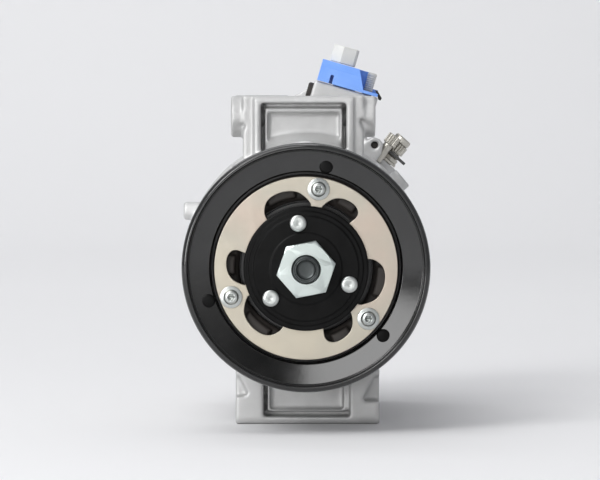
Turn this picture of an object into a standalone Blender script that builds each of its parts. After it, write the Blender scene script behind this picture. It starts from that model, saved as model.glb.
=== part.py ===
"""Clutchless variable-displacement automotive air-conditioning compressor.

Frame: origin at the centre of the shaft's front end face, +Y along the shaft towards the
rear, +X to the right seen from the pulley, +Z up. Lengths below are in millimetres and the
helpers turn them into metres. The swash plate stands square to the shaft, which is the
minimum displacement, so every piston is at the rear end of its bore.
"""
import math

import bmesh
import bpy
from mathutils import Matrix, Vector

MM = 0.001
ASSEMBLY = "ac_compressor"
GAP = 0.3                      # clearance kept between neighbouring pieces

# shaft, nut, hub and limiter plate
SHAFT_R = 8.0
THREAD_R = 6.0
SHOULDER_Y = 13.5
SHAFT_REAR_Y = 148.5
NUT_FRONT_Y, NUT_REAR_Y = 2.5, 10.5
NUT_CORNER_R = 13.2
NUT_CORNER_DEG = 11.0
HUB_R = 27.6
HUB_BOSS_R = 11.0
PLATE_R = 40.5
PLATE_FRONT_Y, PLATE_REAR_Y = 14.3, 15.8
SCREW_PITCH_R = 34.8
SCREW_DEG = (81.0, 201.0, 321.0)
RIVET_PITCH_R = 20.3
RIVET_DEG = (100.0, 220.0, 340.0)
SLOT_INNER_R = 27.9
# outer sides of the slots: degrees anticlockwise from each screw, and radius
LARGE_SLOT = ((4.6, 27.9), (7.5, 30.2), (11, 32.0), (14.5, 33.5), (19, 34.5), (27.5, 35.2), (35, 34.9),
              (39.5, 34.0), (43, 32.4), (45.8, 30.4), (47.3, 27.9))
SMALL_SLOT = ((-35.0, 27.9), (-35.7, 31.4), (-34.2, 33.5), (-30.2, 34.9), (-24.6, 35.2), (-18, 34.5),
              (-12.8, 32.9), (-9.8, 31.2), (-7.6, 29.6), (-5.8, 27.9))

# pulley and its bearing
PULLEY_R = 55.0
GROOVE_COUNT = 6
GROOVE_PITCH = 3.56
GROOVE_DEPTH = 3.2
GROOVE_FRONT_Y = 15.4
BEARING_FRONT_Y, BEARING_REAR_Y = 28.9, 44.9
BEARING_MID_Y = (BEARING_FRONT_Y + BEARING_REAR_Y) / 2
BALL_PITCH_R = 22.6
BALL_R = 2.9
BALL_COUNT = 8

# casing
BODY_R = 56.0
CRANKCASE_R = 42.0
NOSE_R = 17.4
NOSE_BORE_R = 12.5
FRONT_WALL_Y = 58.0
FRONT_HOUSING_REAR_Y = 110.7
BLOCK_FRONT_Y, BLOCK_REAR_Y = 111.8, 149.9
REAR_HOUSING_FRONT_Y, REAR_HOUSING_REAR_Y = 155.8, 206.0
REAR_R = 55.0
BOLT_PITCH_R = 49.0
BOLT_R = 3.0
BOLT_HEAD_Y = 196.3
BOLT_DEG = tuple(90.0 + 72.0 * k for k in range(5))

# mounting lugs: bolt axes run along X
LUG_Y = 78.0                   # of the front pair; the rear pair sits LUG_SPACING behind
LUG_SPACING = 100.0
LUG_R = 9.5
LUG_BORE_R = 4.3
TOP_LUG_Z = 66.3
BASE_LUG_Z = -64.5
BASE_Z = -74.0
TOP_POCKET = ((-20.5, 56.5), (18.5, 72.6))
BASE_POCKET = ((-19.3, -70.6), (20.2, -57.5))
LUG_FRONT_DEPTH = 12.0
LUG_ROOT_Z = 44.0

# swash plate, pistons and shoes
PISTON_PITCH_R = 28.0
PISTON_R = 12.7
PISTON_DEG = tuple(54.0 + 72.0 * k for k in range(5))
SWASH_Y = 103.0
SWASH_R = 35.5
SWASH_BORE_R = 11.5
SWASH_HALF = 5.0
SHOE_BALL_R = 11.0
SHOE_R = 7.0
PISTON_FRONT_Y, PISTON_REAR_Y = 86.0, 149.6
SLOT_HALF = 9.1
BRIDGE_INNER = 9.3
NOSE_TRIM = 8.0
PIN_Y, PIN_Z, PIN_R = 78.0, 13.4, 2.5
PIN_END_Y, PIN_END_Z = 75.1, 20.4   # where the pin stands at full tilt
EAR_IN, EAR_OUT = 4.6, 9.0
LUG_PLATE_FRONT_Y, LUG_PLATE_REAR_Y = 61.6, 69.0
THRUST_MID_Y = 59.8
ROLLER_COUNT = 8

# port block and its transport cap, tilted about Y
PORT_TILT = math.radians(-16.0)
PORT_TOP = 81.2
PORT_U = (-18.5, 13.0)
PORT_Y = (158.0, 194.0)
SUCTION_PORT_Y, DISCHARGE_PORT_Y = 167.0, 185.0
PORT_CENTRE_U = -4.0
PORT_R = 6.0
CAP_U = (-17.5, 12.4)
CAP_Y = (156.5, 194.5)
CAP_HEIGHT = 10.5
STUD_U, STUD_Y, STUD_R = 7.6, 175.5, 2.3
PLUG_U, PLUG_R = -7.9, 6.6

# control valve and relief valve
CONTROL_X, CONTROL_Y, CONTROL_Z, CONTROL_R = -47.5, 193.5, -22.5, 9.0
RELIEF_DEG, RELIEF_Y, RELIEF_R = 49.0, 172.0, 4.6
RELIEF_SEAT, RELIEF_END = 58.8, 72.9

COARSE, MEDIUM, FINE = 8, 16, 32


def clear_scene():
    for obj in list(bpy.data.objects):
        bpy.data.objects.remove(obj, do_unlink=True)


def new_collection(name):
    collection = bpy.data.collections.new(name)
    bpy.context.scene.collection.children.link(collection)
    return collection


def finish(name, colour, roughness, metallic):
    """A Principled material of one colour."""
    material = bpy.data.materials.new(name)
    material.use_nodes = True
    shader = material.node_tree.nodes["Principled BSDF"]
    shader.inputs["Base Color"].default_value = (*colour, 1.0)
    shader.inputs["Roughness"].default_value = roughness
    shader.inputs["Metallic"].default_value = metallic
    return material


clear_scene()
PARTS = new_collection(ASSEMBLY)
CUTTERS = new_collection("cutters")

CAST = finish("cast_aluminium", (0.62, 0.62, 0.61), 0.5, 0.8)
BLACK = finish("pulley_black", (0.02, 0.02, 0.022), 0.25, 0.2)
SATIN_BLACK = finish("hub_black", (0.015, 0.015, 0.016), 0.45, 0.2)
ZINC = finish("zinc_plate", (0.66, 0.6, 0.52), 0.35, 1.0)
BRIGHT = finish("bright_steel", (0.75, 0.77, 0.78), 0.25, 1.0)
STEEL = finish("machined_steel", (0.5, 0.5, 0.5), 0.3, 1.0)
DARK_STEEL = finish("dark_steel", (0.2, 0.2, 0.2), 0.4, 1.0)
RUBBER = finish("damper_rubber", (0.02, 0.02, 0.02), 0.8, 0.0)
GASKET = finish("gasket_coat", (0.1, 0.1, 0.11), 0.6, 0.1)
OLIVE = finish("olive_fitting", (0.36, 0.33, 0.26), 0.4, 0.8)
BLUE = finish("cap_blue", (0.06, 0.2, 0.7), 0.4, 0.0)
PALE = finish("plug_grey", (0.6, 0.6, 0.58), 0.45, 0.0)


# ---------------------------------------------------------------- helpers

def polar(radius, degrees):
    """(x, z) of a point at this radius and angle in the plane square to the shaft."""
    angle = math.radians(degrees)
    return radius * math.cos(angle), radius * math.sin(angle)


def port_point(u, y, n):
    """A point given across (u) and out of (n) the tilted port face."""
    c, s = math.cos(PORT_TILT), math.sin(PORT_TILT)
    return Vector((u * c - n * s, y, u * s + n * c))


def register(obj, material):
    """Put an object with the parts, or with the cutters where it has no material."""
    if material is None:
        CUTTERS.objects.link(obj)
        obj.hide_render = True
        obj.display_type = "WIRE"
    else:
        PARTS.objects.link(obj)
        obj.data.materials.clear()
        obj.data.materials.append(material)
        obj.data.shade_smooth()
        obj.data.set_sharp_from_angle(angle=math.radians(30))
    return obj


def turned(name, profile, material, steps=MEDIUM, closed=True, at=(0, 0, 0), along=(0, 1, 0)):
    """Revolve (radius, distance) points about an axis; an open profile ends on that axis."""
    points = list(profile)
    ends = points[1:] + points[:1]
    area = sum(a[0] * b[1] - b[0] * a[1] for a, b in zip(points, ends))
    if area > 0:
        points.reverse()
    edges = [(k, k + 1) for k in range(len(points) - 1)]
    if closed:
        edges.append((len(points) - 1, 0))
    mesh = bpy.data.meshes.new(name)
    mesh.from_pydata([(r * MM, 0, d * MM) for r, d in points], edges, [])
    obj = bpy.data.objects.new(name, mesh)
    screw = obj.modifiers.new("turn", "SCREW")
    screw.steps = steps
    screw.render_steps = steps
    screw.use_merge_vertices = True
    screw.merge_threshold = 0.00001
    obj.location = Vector(at) * MM
    obj.rotation_euler = Vector(along).to_track_quat("Z", "Y").to_euler()
    return register(obj, material)


def from_bmesh(name, bm, material, at=(0, 0, 0)):
    """Close off a bmesh built in millimetres about a point."""
    bmesh.ops.scale(bm, vec=(MM, MM, MM), verts=bm.verts)
    bmesh.ops.recalc_face_normals(bm, faces=bm.faces)
    mesh = bpy.data.meshes.new(name)
    bm.to_mesh(mesh)
    bm.free()
    obj = bpy.data.objects.new(name, mesh)
    obj.location = Vector(at) * MM
    return register(obj, material)


def rod(name, start, along, length, radius, material=None, steps=COARSE):
    """A plain cylinder from a start point along a direction."""
    direction = Vector(along).normalized()
    centre = Vector(start) + direction * (length / 2)
    bm = bmesh.new()
    turn = direction.to_track_quat("Z", "Y").to_matrix().to_4x4()
    bmesh.ops.create_cone(bm, cap_ends=True, segments=steps, radius1=radius, radius2=radius,
                          depth=length, matrix=turn)
    return from_bmesh(name, bm, material, centre)


def block(name, low, high, material=None, turn=None, at=(0, 0, 0)):
    """A box between two corners, optionally turned about a point."""
    size = [b - a for a, b in zip(low, high)]
    middle = [(a + b) / 2 for a, b in zip(low, high)]
    bm = bmesh.new()
    scale = Matrix.Diagonal((*size, 1.0))
    bmesh.ops.create_cube(bm, size=1.0, matrix=Matrix.Translation(middle) @ scale)
    if turn is not None:
        bmesh.ops.transform(bm, matrix=turn, verts=bm.verts)
    return from_bmesh(name, bm, material, at)


def prism(name, outlines, low, high, material=None, axis="Y"):
    """Extrude flat outlines: (x, z) pairs along Y, or (y, z) pairs along X."""
    curve = bpy.data.curves.new(name + "_outline", "CURVE")
    curve.dimensions = "2D"
    curve.fill_mode = "BOTH"
    curve.extrude = (high - low) / 2 * MM
    for outline in outlines:
        spline = curve.splines.new("POLY")
        spline.points.add(len(outline) - 1)
        for point, (a, b) in zip(spline.points, outline):
            point.co = (a * MM, b * MM, 0, 1)
        spline.use_cyclic_u = True
    source = bpy.data.objects.new(name + "_outline", curve)
    middle = (low + high) / 2 * MM
    if axis == "Y":
        turn = Matrix(((1, 0, 0), (0, 0, -1), (0, 1, 0))).to_4x4()
        place = Matrix.Translation((0, middle, 0))
    else:
        turn = Matrix(((0, 0, 1), (1, 0, 0), (0, 1, 0))).to_4x4()
        place = Matrix.Translation((middle, 0, 0))
    CUTTERS.objects.link(source)
    bpy.context.view_layer.update()
    graph = bpy.context.evaluated_depsgraph_get()
    mesh = bpy.data.meshes.new_from_object(source.evaluated_get(graph))
    bm = bmesh.new()
    bm.from_mesh(mesh)
    bmesh.ops.remove_doubles(bm, verts=bm.verts, dist=0.000001)
    bmesh.ops.transform(bm, matrix=turn, verts=bm.verts)
    bmesh.ops.recalc_face_normals(bm, faces=bm.faces)
    bm.to_mesh(mesh)
    bm.free()
    bpy.data.objects.remove(source, do_unlink=True)
    mesh.name = name
    obj = bpy.data.objects.new(name, mesh)
    obj.matrix_world = place
    return register(obj, material)


def boolean(obj, tool, operation):
    modifier = obj.modifiers.new(operation.lower() + "_" + tool.name, "BOOLEAN")
    modifier.operation = operation
    modifier.object = tool
    modifier.solver = "EXACT"


def cut(obj, *tools):
    for tool in tools:
        boolean(obj, tool, "DIFFERENCE")


def join(obj, *tools):
    for tool in tools:
        boolean(obj, tool, "UNION")


def circle(radius, steps, centre=(0, 0), start=0.0):
    """Points round a circle in a plane of outlines."""
    spin = [math.radians(start + 360.0 * k / steps) for k in range(steps)]
    return [(centre[0] + radius * math.cos(a), centre[1] + radius * math.sin(a)) for a in spin]


def arc(centre, radius, start, end, steps):
    """Points along an arc from one angle to another, both ends included."""
    spin = [math.radians(start + (end - start) * k / steps) for k in range(steps + 1)]
    return [(centre[0] + radius * math.cos(a), centre[1] + radius * math.sin(a)) for a in spin]


def pivot(name, at):
    """An empty on a joint's axis, which the moving pieces hang on."""
    empty = bpy.data.objects.new(name, None)
    empty.empty_display_size = 0.01
    empty.location = Vector(at) * MM
    PARTS.objects.link(empty)
    return empty


def hang(empty, *objs):
    for obj in objs:
        obj.parent = empty
        obj.location = obj.location - empty.location


def bolt_holes(radius, steps=COARSE):
    return [circle(radius, steps, polar(BOLT_PITCH_R, deg)) for deg in BOLT_DEG]


# ---------------------------------------------------------------- casing

def lug_outline(y, upper):
    """Side outline of a mounting lug: a round nose over the bolt, square at the front."""
    z = TOP_LUG_Z if upper else BASE_LUG_Z
    front = y - LUG_FRONT_DEPTH
    if upper:
        top = z + LUG_R
        corner = arc((front + 3, top - 3), 3, 180, 90, 3)
        return [(front, LUG_ROOT_Z)] + corner + arc((y, z), LUG_R, 90, 0, 6) + [(y + LUG_R, LUG_ROOT_Z)]
    corner = arc((front + 3, BASE_Z + 3), 3, 180, 270, 3)
    return [(front, -LUG_ROOT_Z)] + corner + [(y + LUG_R, BASE_Z), (y + LUG_R, -LUG_ROOT_Z)]


def add_mount(housing, label, y, upper, web, boss, pocket):
    """Join one mounting lug pair to a casing, with its bolt bore and front pocket."""
    z = TOP_LUG_Z if upper else BASE_LUG_Z
    join(housing, prism(label + "_web", [lug_outline(y, upper)], web[0], web[1], axis="X"))
    if upper:
        join(housing, rod(label + "_boss", (boss[0], y, z), (1, 0, 0), boss[1] - boss[0], LUG_R - 0.4,
                          steps=MEDIUM))
    if pocket is not None:
        low, high = pocket
        cut(housing, block(label + "_pocket", (low[0], y - 20, low[1]), (high[0], y - 5.2, high[1])))
    cut(housing, rod(label + "_bore", (boss[0] - 5, y, z), (1, 0, 0), boss[1] - boss[0] + 10, LUG_BORE_R,
                     steps=16))


def front_housing():
    shell = turned("front_housing", [
        (NOSE_BORE_R, 25), (NOSE_R - 0.5, 25), (NOSE_R, 25.5), (NOSE_R, 26.8), (15.9, 26.8),
        (15.9, 28.4), (NOSE_R, 28.4), (NOSE_R, 45.3), (22, 45.3), (22, 48.5), (50, 50), (54, 52),
        (BODY_R, 56), (BODY_R, FRONT_HOUSING_REAR_Y), (CRANKCASE_R, FRONT_HOUSING_REAR_Y),
        (CRANKCASE_R, FRONT_WALL_Y), (NOSE_BORE_R, FRONT_WALL_Y)], CAST, FINE)
    add_mount(shell, "front_top", LUG_Y, True, (-28.7, 26.5), (-34.2, 31.8), TOP_POCKET)
    add_mount(shell, "front_base", LUG_Y, False, (-32.1, 33.6), (-31.5, 33.0), BASE_POCKET)
    join(shell, rod("side_boss", (-45, 99, 22.4), (-1, 0, 0), 11.6, 4.2, steps=16))
    x, z = polar(50, 40)
    join(shell, rod("flange_pad", (x, 99, z), (x, 0, z), 8.8, 5.0, steps=16))
    for k, deg in enumerate(BOLT_DEG):
        x, z = polar(BOLT_PITCH_R, deg)
        cut(shell, rod(f"front_thread_{k + 1}", (x, 68, z), (0, 1, 0), 60, BOLT_R + GAP))
    return shell


def cylinder_block():
    bores = [circle(PISTON_R + GAP, MEDIUM, polar(PISTON_PITCH_R, deg)) for deg in PISTON_DEG]
    outlines = [circle(BODY_R, FINE), circle(NOSE_BORE_R, MEDIUM)] + bores + bolt_holes(BOLT_R + GAP)
    return prism("cylinder_block", outlines, BLOCK_FRONT_Y, BLOCK_REAR_Y, CAST)


def valve_plates():
    """Front gasket, reed plates, valve plate and rear gasket, front to rear."""
    rim = circle(BODY_R - 0.4, 24)
    bolts = bolt_holes(BOLT_R + 2 * GAP, 6)
    inlets = [circle(4.0, 6, polar(34, deg)) for deg in PISTON_DEG]
    outlets = [circle(2.6, 6, polar(18, deg)) for deg in PISTON_DEG]
    prism("front_gasket", [rim, circle(CRANKCASE_R + 1, 24)] + bolts, 111.0, 111.5, GASKET)
    prism("suction_reed_plate", [rim] + bolts + outlets, 150.2, 150.6, STEEL)
    prism("valve_plate", [rim] + bolts + inlets + outlets, 150.9, 153.9, STEEL)
    prism("discharge_reed_plate", [rim] + bolts + inlets, 154.2, 154.6, STEEL)
    prism("rear_gasket", [rim, circle(CRANKCASE_R + 1, 24)] + bolts, 154.9, 155.5, GASKET)


def rear_housing():
    body = turned("rear_housing", [
        (0, REAR_HOUSING_REAR_Y), (49, REAR_HOUSING_REAR_Y), (REAR_R, 198),
        (REAR_R, REAR_HOUSING_FRONT_Y), (42, REAR_HOUSING_FRONT_Y), (42, 176), (26, 176),
        (26, REAR_HOUSING_FRONT_Y), (22, REAR_HOUSING_FRONT_Y), (22, 183), (0, 183)], CAST, FINE,
        closed=False)
    tilt = Matrix.Rotation(-PORT_TILT, 4, "Y")
    join(body, block("port_block", (PORT_U[0], PORT_Y[0], 46), (PORT_U[1], PORT_Y[1], PORT_TOP), turn=tilt))
    y = LUG_Y + LUG_SPACING
    add_mount(body, "rear_top", y, True, (-28.7, -9), (-34.2, -8), None)
    add_mount(body, "rear_base", y, False, (-32.1, 33.6), (-31.5, 33.0), BASE_POCKET)
    out = port_point(0, 0, 1)
    cut(body, rod("suction_port", port_point(PORT_CENTRE_U, SUCTION_PORT_Y, 36), out, 60, PORT_R, steps=16))
    cut(body, rod("discharge_port", port_point(PORT_CENTRE_U, DISCHARGE_PORT_Y, 14), out, 80, PORT_R,
                  steps=16))
    cut(body, rod("stud_hole", port_point(STUD_U, STUD_Y, PORT_TOP - 17.5), out, 30, STUD_R + GAP))
    cut(body, rod("control_bore", (-60, CONTROL_Y, CONTROL_Z), (1, 0, 0), 78, CONTROL_R + GAP,
                  steps=MEDIUM))
    cut(body, rod("control_seat", (-60, CONTROL_Y, CONTROL_Z), (1, 0, 0), 18, CONTROL_R + 2.3,
                  steps=MEDIUM))
    x, z = polar(46, RELIEF_DEG)
    join(body, rod("relief_boss", (x, RELIEF_Y, z), (x, 0, z), RELIEF_SEAT - GAP - 46, 7.2, steps=16))
    x, z = polar(38, RELIEF_DEG)
    cut(body, rod("relief_bore", (x, RELIEF_Y, z), (x, 0, z), 40, 3.5 + GAP, steps=16))
    ear = [polar(51, 52.5), polar(60, 53), polar(65.5, 55.2), polar(65.5, 59.8), polar(60, 62), polar(51, 63)]
    join(body, prism("bracket_ear", [ear], 157.0, 162.0))
    x, z = polar(61.6, 57.4)
    cut(body, rod("ear_hole", (x, 150, z), (0, 1, 0), 15, 1.8))
    for k, deg in enumerate(BOLT_DEG):
        x, z = polar(BOLT_PITCH_R, deg)
        cut(body, rod(f"rear_clear_{k + 1}", (x, 150, z), (0, 1, 0), 60, BOLT_R + GAP))
        cut(body, rod(f"head_pocket_{k + 1}", (x, BOLT_HEAD_Y - GAP, z), (0, 1, 0), 20, 6.6, steps=16))
    return body


def through_bolts():
    for k, deg in enumerate(BOLT_DEG):
        x, z = polar(BOLT_PITCH_R, deg)
        head = BOLT_HEAD_Y
        profile = [(0, head + 3.2), (2.6, head + 3.2), (2.6, head + 6), (5, head + 6), (5.6, head + 5.4),
                   (5.6, head), (BOLT_R, head), (BOLT_R, 71), (BOLT_R - 1, 70), (0, 70)]
        turned(f"through_bolt_{k + 1}", profile, DARK_STEEL, COARSE, closed=False, at=(x, 0, z))


# ---------------------------------------------------------------- pulley and hub

def pulley_profile():
    """Half section of the pulley: belt grooves, rear recess, bearing seat, damper pocket."""
    points = [(54.2, 13.5), (PULLEY_R, 14.2)]
    for k in range(GROOVE_COUNT):
        start = GROOVE_FRONT_Y + k * GROOVE_PITCH
        points.append((PULLEY_R, start + 0.35))
        points.append((PULLEY_R - GROOVE_DEPTH, start + GROOVE_PITCH / 2))
        points.append((PULLEY_R, start + GROOVE_PITCH - 0.35))
    points += [(PULLEY_R, 38.6), (54.2, 39.4), (47, 39.4), (46.2, 31), (31.5, 31), (31.5, 46.4),
               (27.8, 46.4), (27.8, 28.6), (25.6, 28.6), (25.6, 23.5), (28.9, 23.5), (28.9, 27.2),
               (42.5, 27.2), (42.5, 18.2), (52.0, 17.4), (52.4, 13.5)]
    return points


def pulley_bearing():
    front, mid, rear = BEARING_FRONT_Y, BEARING_MID_Y, BEARING_REAR_Y
    outer = turned("bearing_outer_ring", [
        (24.4, front), (27.5, front), (27.5, rear), (24.4, rear), (24.4, mid + 3.3), (25.9, mid + 1.5),
        (25.9, mid - 1.5), (24.4, mid - 3.3)], STEEL, 20)
    turned("bearing_inner_ring", [
        (NOSE_R + GAP, front), (20.8, front), (20.8, mid - 3.3), (19.3, mid - 1.5), (19.3, mid + 1.5),
        (20.8, mid + 3.3), (20.8, rear), (NOSE_R + GAP, rear)], STEEL, 20)
    cage = turned("bearing_ball_cage", [(21.9, mid - 3.4), (23.3, mid - 3.4), (23.3, mid + 3.4),
                                        (21.9, mid + 3.4)], OLIVE, 20)
    for k in range(BALL_COUNT):
        x, z = polar(BALL_PITCH_R, 360.0 * k / BALL_COUNT)
        bm = bmesh.new()
        bmesh.ops.create_uvsphere(bm, u_segments=6, v_segments=4, radius=BALL_R)
        join(cage, from_bmesh(f"ball_{k + 1}", bm, None, (x, mid, z)))
    turned("bearing_snap_ring", [(16.2, 27.1), (20.0, 27.1), (20.0, 28.1), (16.2, 28.1)], DARK_STEEL, 20)
    return outer, cage


def kidney(turn, outer_side):
    """A rounded slot bent round the shaft, straight along the hub's edge."""
    points = [polar(radius, deg + turn) for deg, radius in outer_side]
    low, high = outer_side[0][0] + turn, outer_side[-1][0] + turn
    return points + arc((0, 0), SLOT_INNER_R, high, low, 5)[1:-1]


def limiter_plate():
    outlines = [circle(PLATE_R, FINE), circle(HUB_BOSS_R + 2, MEDIUM)]
    for deg in SCREW_DEG:
        outlines.append(kidney(deg, LARGE_SLOT))
        outlines.append(kidney(deg, SMALL_SLOT))
        outlines.append(circle(2.5, 8, polar(SCREW_PITCH_R + 0.6, deg)))
    for deg in RIVET_DEG:
        outlines.append(circle(2.1, 8, polar(RIVET_PITCH_R, deg)))
    return prism("limiter_plate", outlines, PLATE_FRONT_Y, PLATE_REAR_Y, ZINC)


def hub_parts():
    """Damper ring, limiter plate, hub and their fasteners, all turning with the shaft."""
    holes = [circle(2.5, 8, polar(SCREW_PITCH_R + 0.6, deg)) for deg in SCREW_DEG]
    pieces = [limiter_plate()]
    pieces.append(prism("damper_ring", [circle(41.6, 24), circle(29.4, 24)] + holes, 16.4, 26.6, RUBBER))
    hub = turned("drive_hub", [
        (THREAD_R + 0.4, 10.8), (23.4, 10.8), (23.9, 11.6), (25.2, 11.6), (25.7, 12.4), (27.2, 12.4),
        (HUB_R, 12.8), (HUB_R, 14.0), (HUB_BOSS_R, 14.0), (HUB_BOSS_R, 24), (SHAFT_R + GAP, 24),
        (SHAFT_R + GAP, 13.2), (THREAD_R + 0.4, 13.2)], SATIN_BLACK, 24)
    pieces.append(hub)
    for k, deg in enumerate(SCREW_DEG):
        x, z = polar(SCREW_PITCH_R + 0.6, deg)
        profile = [(0, 24), (2.2, 24), (2.2, 14.0), (4.9, 14.0), (4.9, 13.3), (3.3, 13.2), (3.1, 12.0),
                   (2.2, 11.3), (0, 11.1)]
        pieces.append(turned(f"limiter_screw_{k + 1}", profile, BRIGHT, 16, closed=False, at=(x, 0, z)))
    for k, deg in enumerate(RIVET_DEG):
        x, z = polar(RIVET_PITCH_R, deg)
        cut(hub, rod(f"rivet_hole_{k + 1}", (x, 5, z), (0, 1, 0), 15, 2.1))
        profile = [(0, 17.4), (1.8, 17.4), (1.8, 10.5), (3.7, 10.5), (3.6, 9.9), (2.6, 9.4), (0, 9.2)]
        pieces.append(turned(f"hub_rivet_{k + 1}", profile, BRIGHT, 16, closed=False, at=(x, 0, z)))
    outline = circle(NUT_CORNER_R, 6, start=NUT_CORNER_DEG)
    pieces.append(prism("hub_nut", [outline, circle(THREAD_R + 0.4, 20)], NUT_FRONT_Y, NUT_REAR_Y, BRIGHT))
    return pieces


# ---------------------------------------------------------------- shaft and drive

def drive_shaft():
    return turned("drive_shaft", [
        (0, SHAFT_REAR_Y), (SHAFT_R - 0.8, SHAFT_REAR_Y), (SHAFT_R, SHAFT_REAR_Y - 0.8),
        (SHAFT_R, SHOULDER_Y), (THREAD_R, SHOULDER_Y), (THREAD_R, 0.7), (THREAD_R - 0.7, 0), (0, 0)],
        STEEL, MEDIUM, closed=False)


def shaft_supports():
    def sleeve(name, front, rear, material):
        inner, outer = SHAFT_R + GAP, NOSE_BORE_R - GAP
        turned(name, [(inner, front), (outer, front), (outer, rear), (inner, rear)], material, MEDIUM)

    sleeve("shaft_seal", 33, 42, RUBBER)
    sleeve("front_shaft_bearing", 46, 57, STEEL)
    sleeve("rear_shaft_bearing", 120, 140, STEEL)


def lug_plate():
    """Disc on the shaft with two ears, whose slots lead the swash plate's pin."""
    front, rear = LUG_PLATE_FRONT_Y, LUG_PLATE_REAR_Y
    bore = SHAFT_R + GAP
    plate = turned("lug_plate", [(bore, front), (36, front), (37, front + 1), (37, rear - 1), (36, rear),
                                 (bore, rear)], DARK_STEEL, 24)
    path = Vector((PIN_END_Y - PIN_Y, PIN_END_Z - PIN_Z))
    heading = math.degrees(math.atan2(path.y, path.x))
    reach = PIN_R + 0.45
    track = arc((PIN_Y, PIN_Z), reach, heading + 90, heading + 270, 5)
    track += arc((PIN_END_Y, PIN_END_Z), reach, heading - 90, heading + 90, 5)
    for side, label in ((1, "right"), (-1, "left")):
        low, high = sorted((side * EAR_IN, side * EAR_OUT))
        ear = [(66, 9.6), (81.8, 9.6), (81.8, 15), (79.5, 24.5), (66, 24.5)]
        join(plate, prism(f"ear_{label}", [ear], low, high, axis="X"))
        cut(plate, prism(f"ear_slot_{label}", [track], low - 1, high + 1, axis="X"))
    return plate


def thrust_bearing():
    cage = turned("thrust_bearing_cage", [(17.5, 59.2), (30, 59.2), (30, 60.4), (17.5, 60.4)], OLIVE, 20)
    for k in range(ROLLER_COUNT):
        x, z = polar(19.5, 360.0 * k / ROLLER_COUNT + 6)
        join(cage, rod(f"roller_{k + 1}", (x, THRUST_MID_Y, z), (x, 0, z), 9, 1.3, steps=6))
    return cage


def return_spring():
    turns, lead, radius = 3, 4.0, 9.1
    per_turn = 12
    curve = bpy.data.curves.new("return_spring", "CURVE")
    curve.dimensions = "3D"
    curve.bevel_depth = 0.6 * MM
    curve.bevel_resolution = 0
    curve.use_fill_caps = True
    spline = curve.splines.new("POLY")
    count = turns * per_turn + 1
    spline.points.add(count - 1)
    for k, point in enumerate(spline.points):
        x, z = polar(radius, 360.0 * k / per_turn)
        point.co = (x * MM, (70.2 + lead * k / per_turn) * MM, z * MM, 1)
    obj = bpy.data.objects.new("return_spring", curve)
    PARTS.objects.link(obj)
    curve.materials.append(STEEL)
    return obj


def swash_plate():
    front, rear = SWASH_Y - SWASH_HALF, SWASH_Y + SWASH_HALF
    plate = turned("swash_plate", [(SWASH_BORE_R, front), (SWASH_R - 0.6, front), (SWASH_R, front + 0.6),
                                   (SWASH_R, rear - 0.6), (SWASH_R - 0.6, rear), (SWASH_BORE_R, rear)],
                   STEEL, 28)
    arm = [(74.4, 10.2), (99.5, 10.2), (99.5, 17.5), (94, 16.6), (86, 14.8), (82, 17), (74.4, 17)]
    join(plate, prism("swash_arm", [arm], -4.1, 4.1, axis="X"))
    cut(plate, rod("shaft_way", (0, SWASH_Y - 10, 0), (0, 1, 0), 16, SWASH_BORE_R - 0.02, steps=28))
    cut(plate, rod("pin_hole", (-8, PIN_Y, PIN_Z), (1, 0, 0), 16, PIN_R + GAP / 2))
    pin = rod("hinge_pin", (-10.6, PIN_Y, PIN_Z), (1, 0, 0), 21.2, PIN_R - 0.05, BRIGHT)
    return plate, pin


# ---------------------------------------------------------------- pistons and shoes

def piston(index, deg):
    """A piston with its slot over the swash plate's rim and a socket for each shoe."""
    x, z = polar(PISTON_PITCH_R, deg)
    body = turned(f"piston_{index}", [
        (0, PISTON_REAR_Y), (PISTON_R - 0.8, PISTON_REAR_Y), (PISTON_R, PISTON_REAR_Y - 0.8),
        (PISTON_R, PISTON_FRONT_Y + 1), (PISTON_R - 1, PISTON_FRONT_Y), (0, PISTON_FRONT_Y)],
        CAST, MEDIUM, closed=False, at=(x, 0, z))
    turn = Matrix.Rotation(math.radians(-deg), 4, "Y")
    slot = block(f"rim_slot_{index}", (-20, -SLOT_HALF, -20), (BRIDGE_INNER, SLOT_HALF, 20), turn=turn,
                 at=(x, SWASH_Y, z))
    trim = block(f"nose_trim_{index}", (-20, -20, -20), (-NOSE_TRIM, -2, 20), turn=turn, at=(x, SWASH_Y, z))
    socket_r = SHOE_BALL_R + GAP
    edge = math.asin(7.9 / socket_r)
    dome = [(socket_r * math.sin(edge * k / 3), socket_r * math.cos(edge * k / 3)) for k in range(4)]
    profile = dome + [(r, -d) for r, d in reversed(dome)]
    socket = turned(f"socket_{index}", profile, None, 16, closed=False, at=(x, SWASH_Y, z))
    cut(body, slot, trim, socket)
    return body


def shoe(name, x, z, side):
    """Half ball between the plate's face and the piston's socket."""
    edge = math.asin(SHOE_R / SHOE_BALL_R)
    dome = [(SHOE_BALL_R * math.sin(edge * k / 3), SHOE_BALL_R * math.cos(edge * k / 3)) for k in range(4)]
    profile = dome + [(SHOE_R, SWASH_HALF + GAP), (0, SWASH_HALF + GAP)]
    return turned(name, profile, BRIGHT, 12, closed=False, at=(x, SWASH_Y, z), along=(0, side, 0))


def piston_sets():
    for k, deg in enumerate(PISTON_DEG):
        x, z = polar(PISTON_PITCH_R, deg)
        slide = pivot(f"piston_axis_{k + 1}", (x, SWASH_Y, z))
        hang(slide, piston(k + 1, deg))
        hang(slide, shoe(f"shoe_front_{k + 1}", x, z, -1), shoe(f"shoe_rear_{k + 1}", x, z, 1))


# ---------------------------------------------------------------- valves and cap

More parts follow.
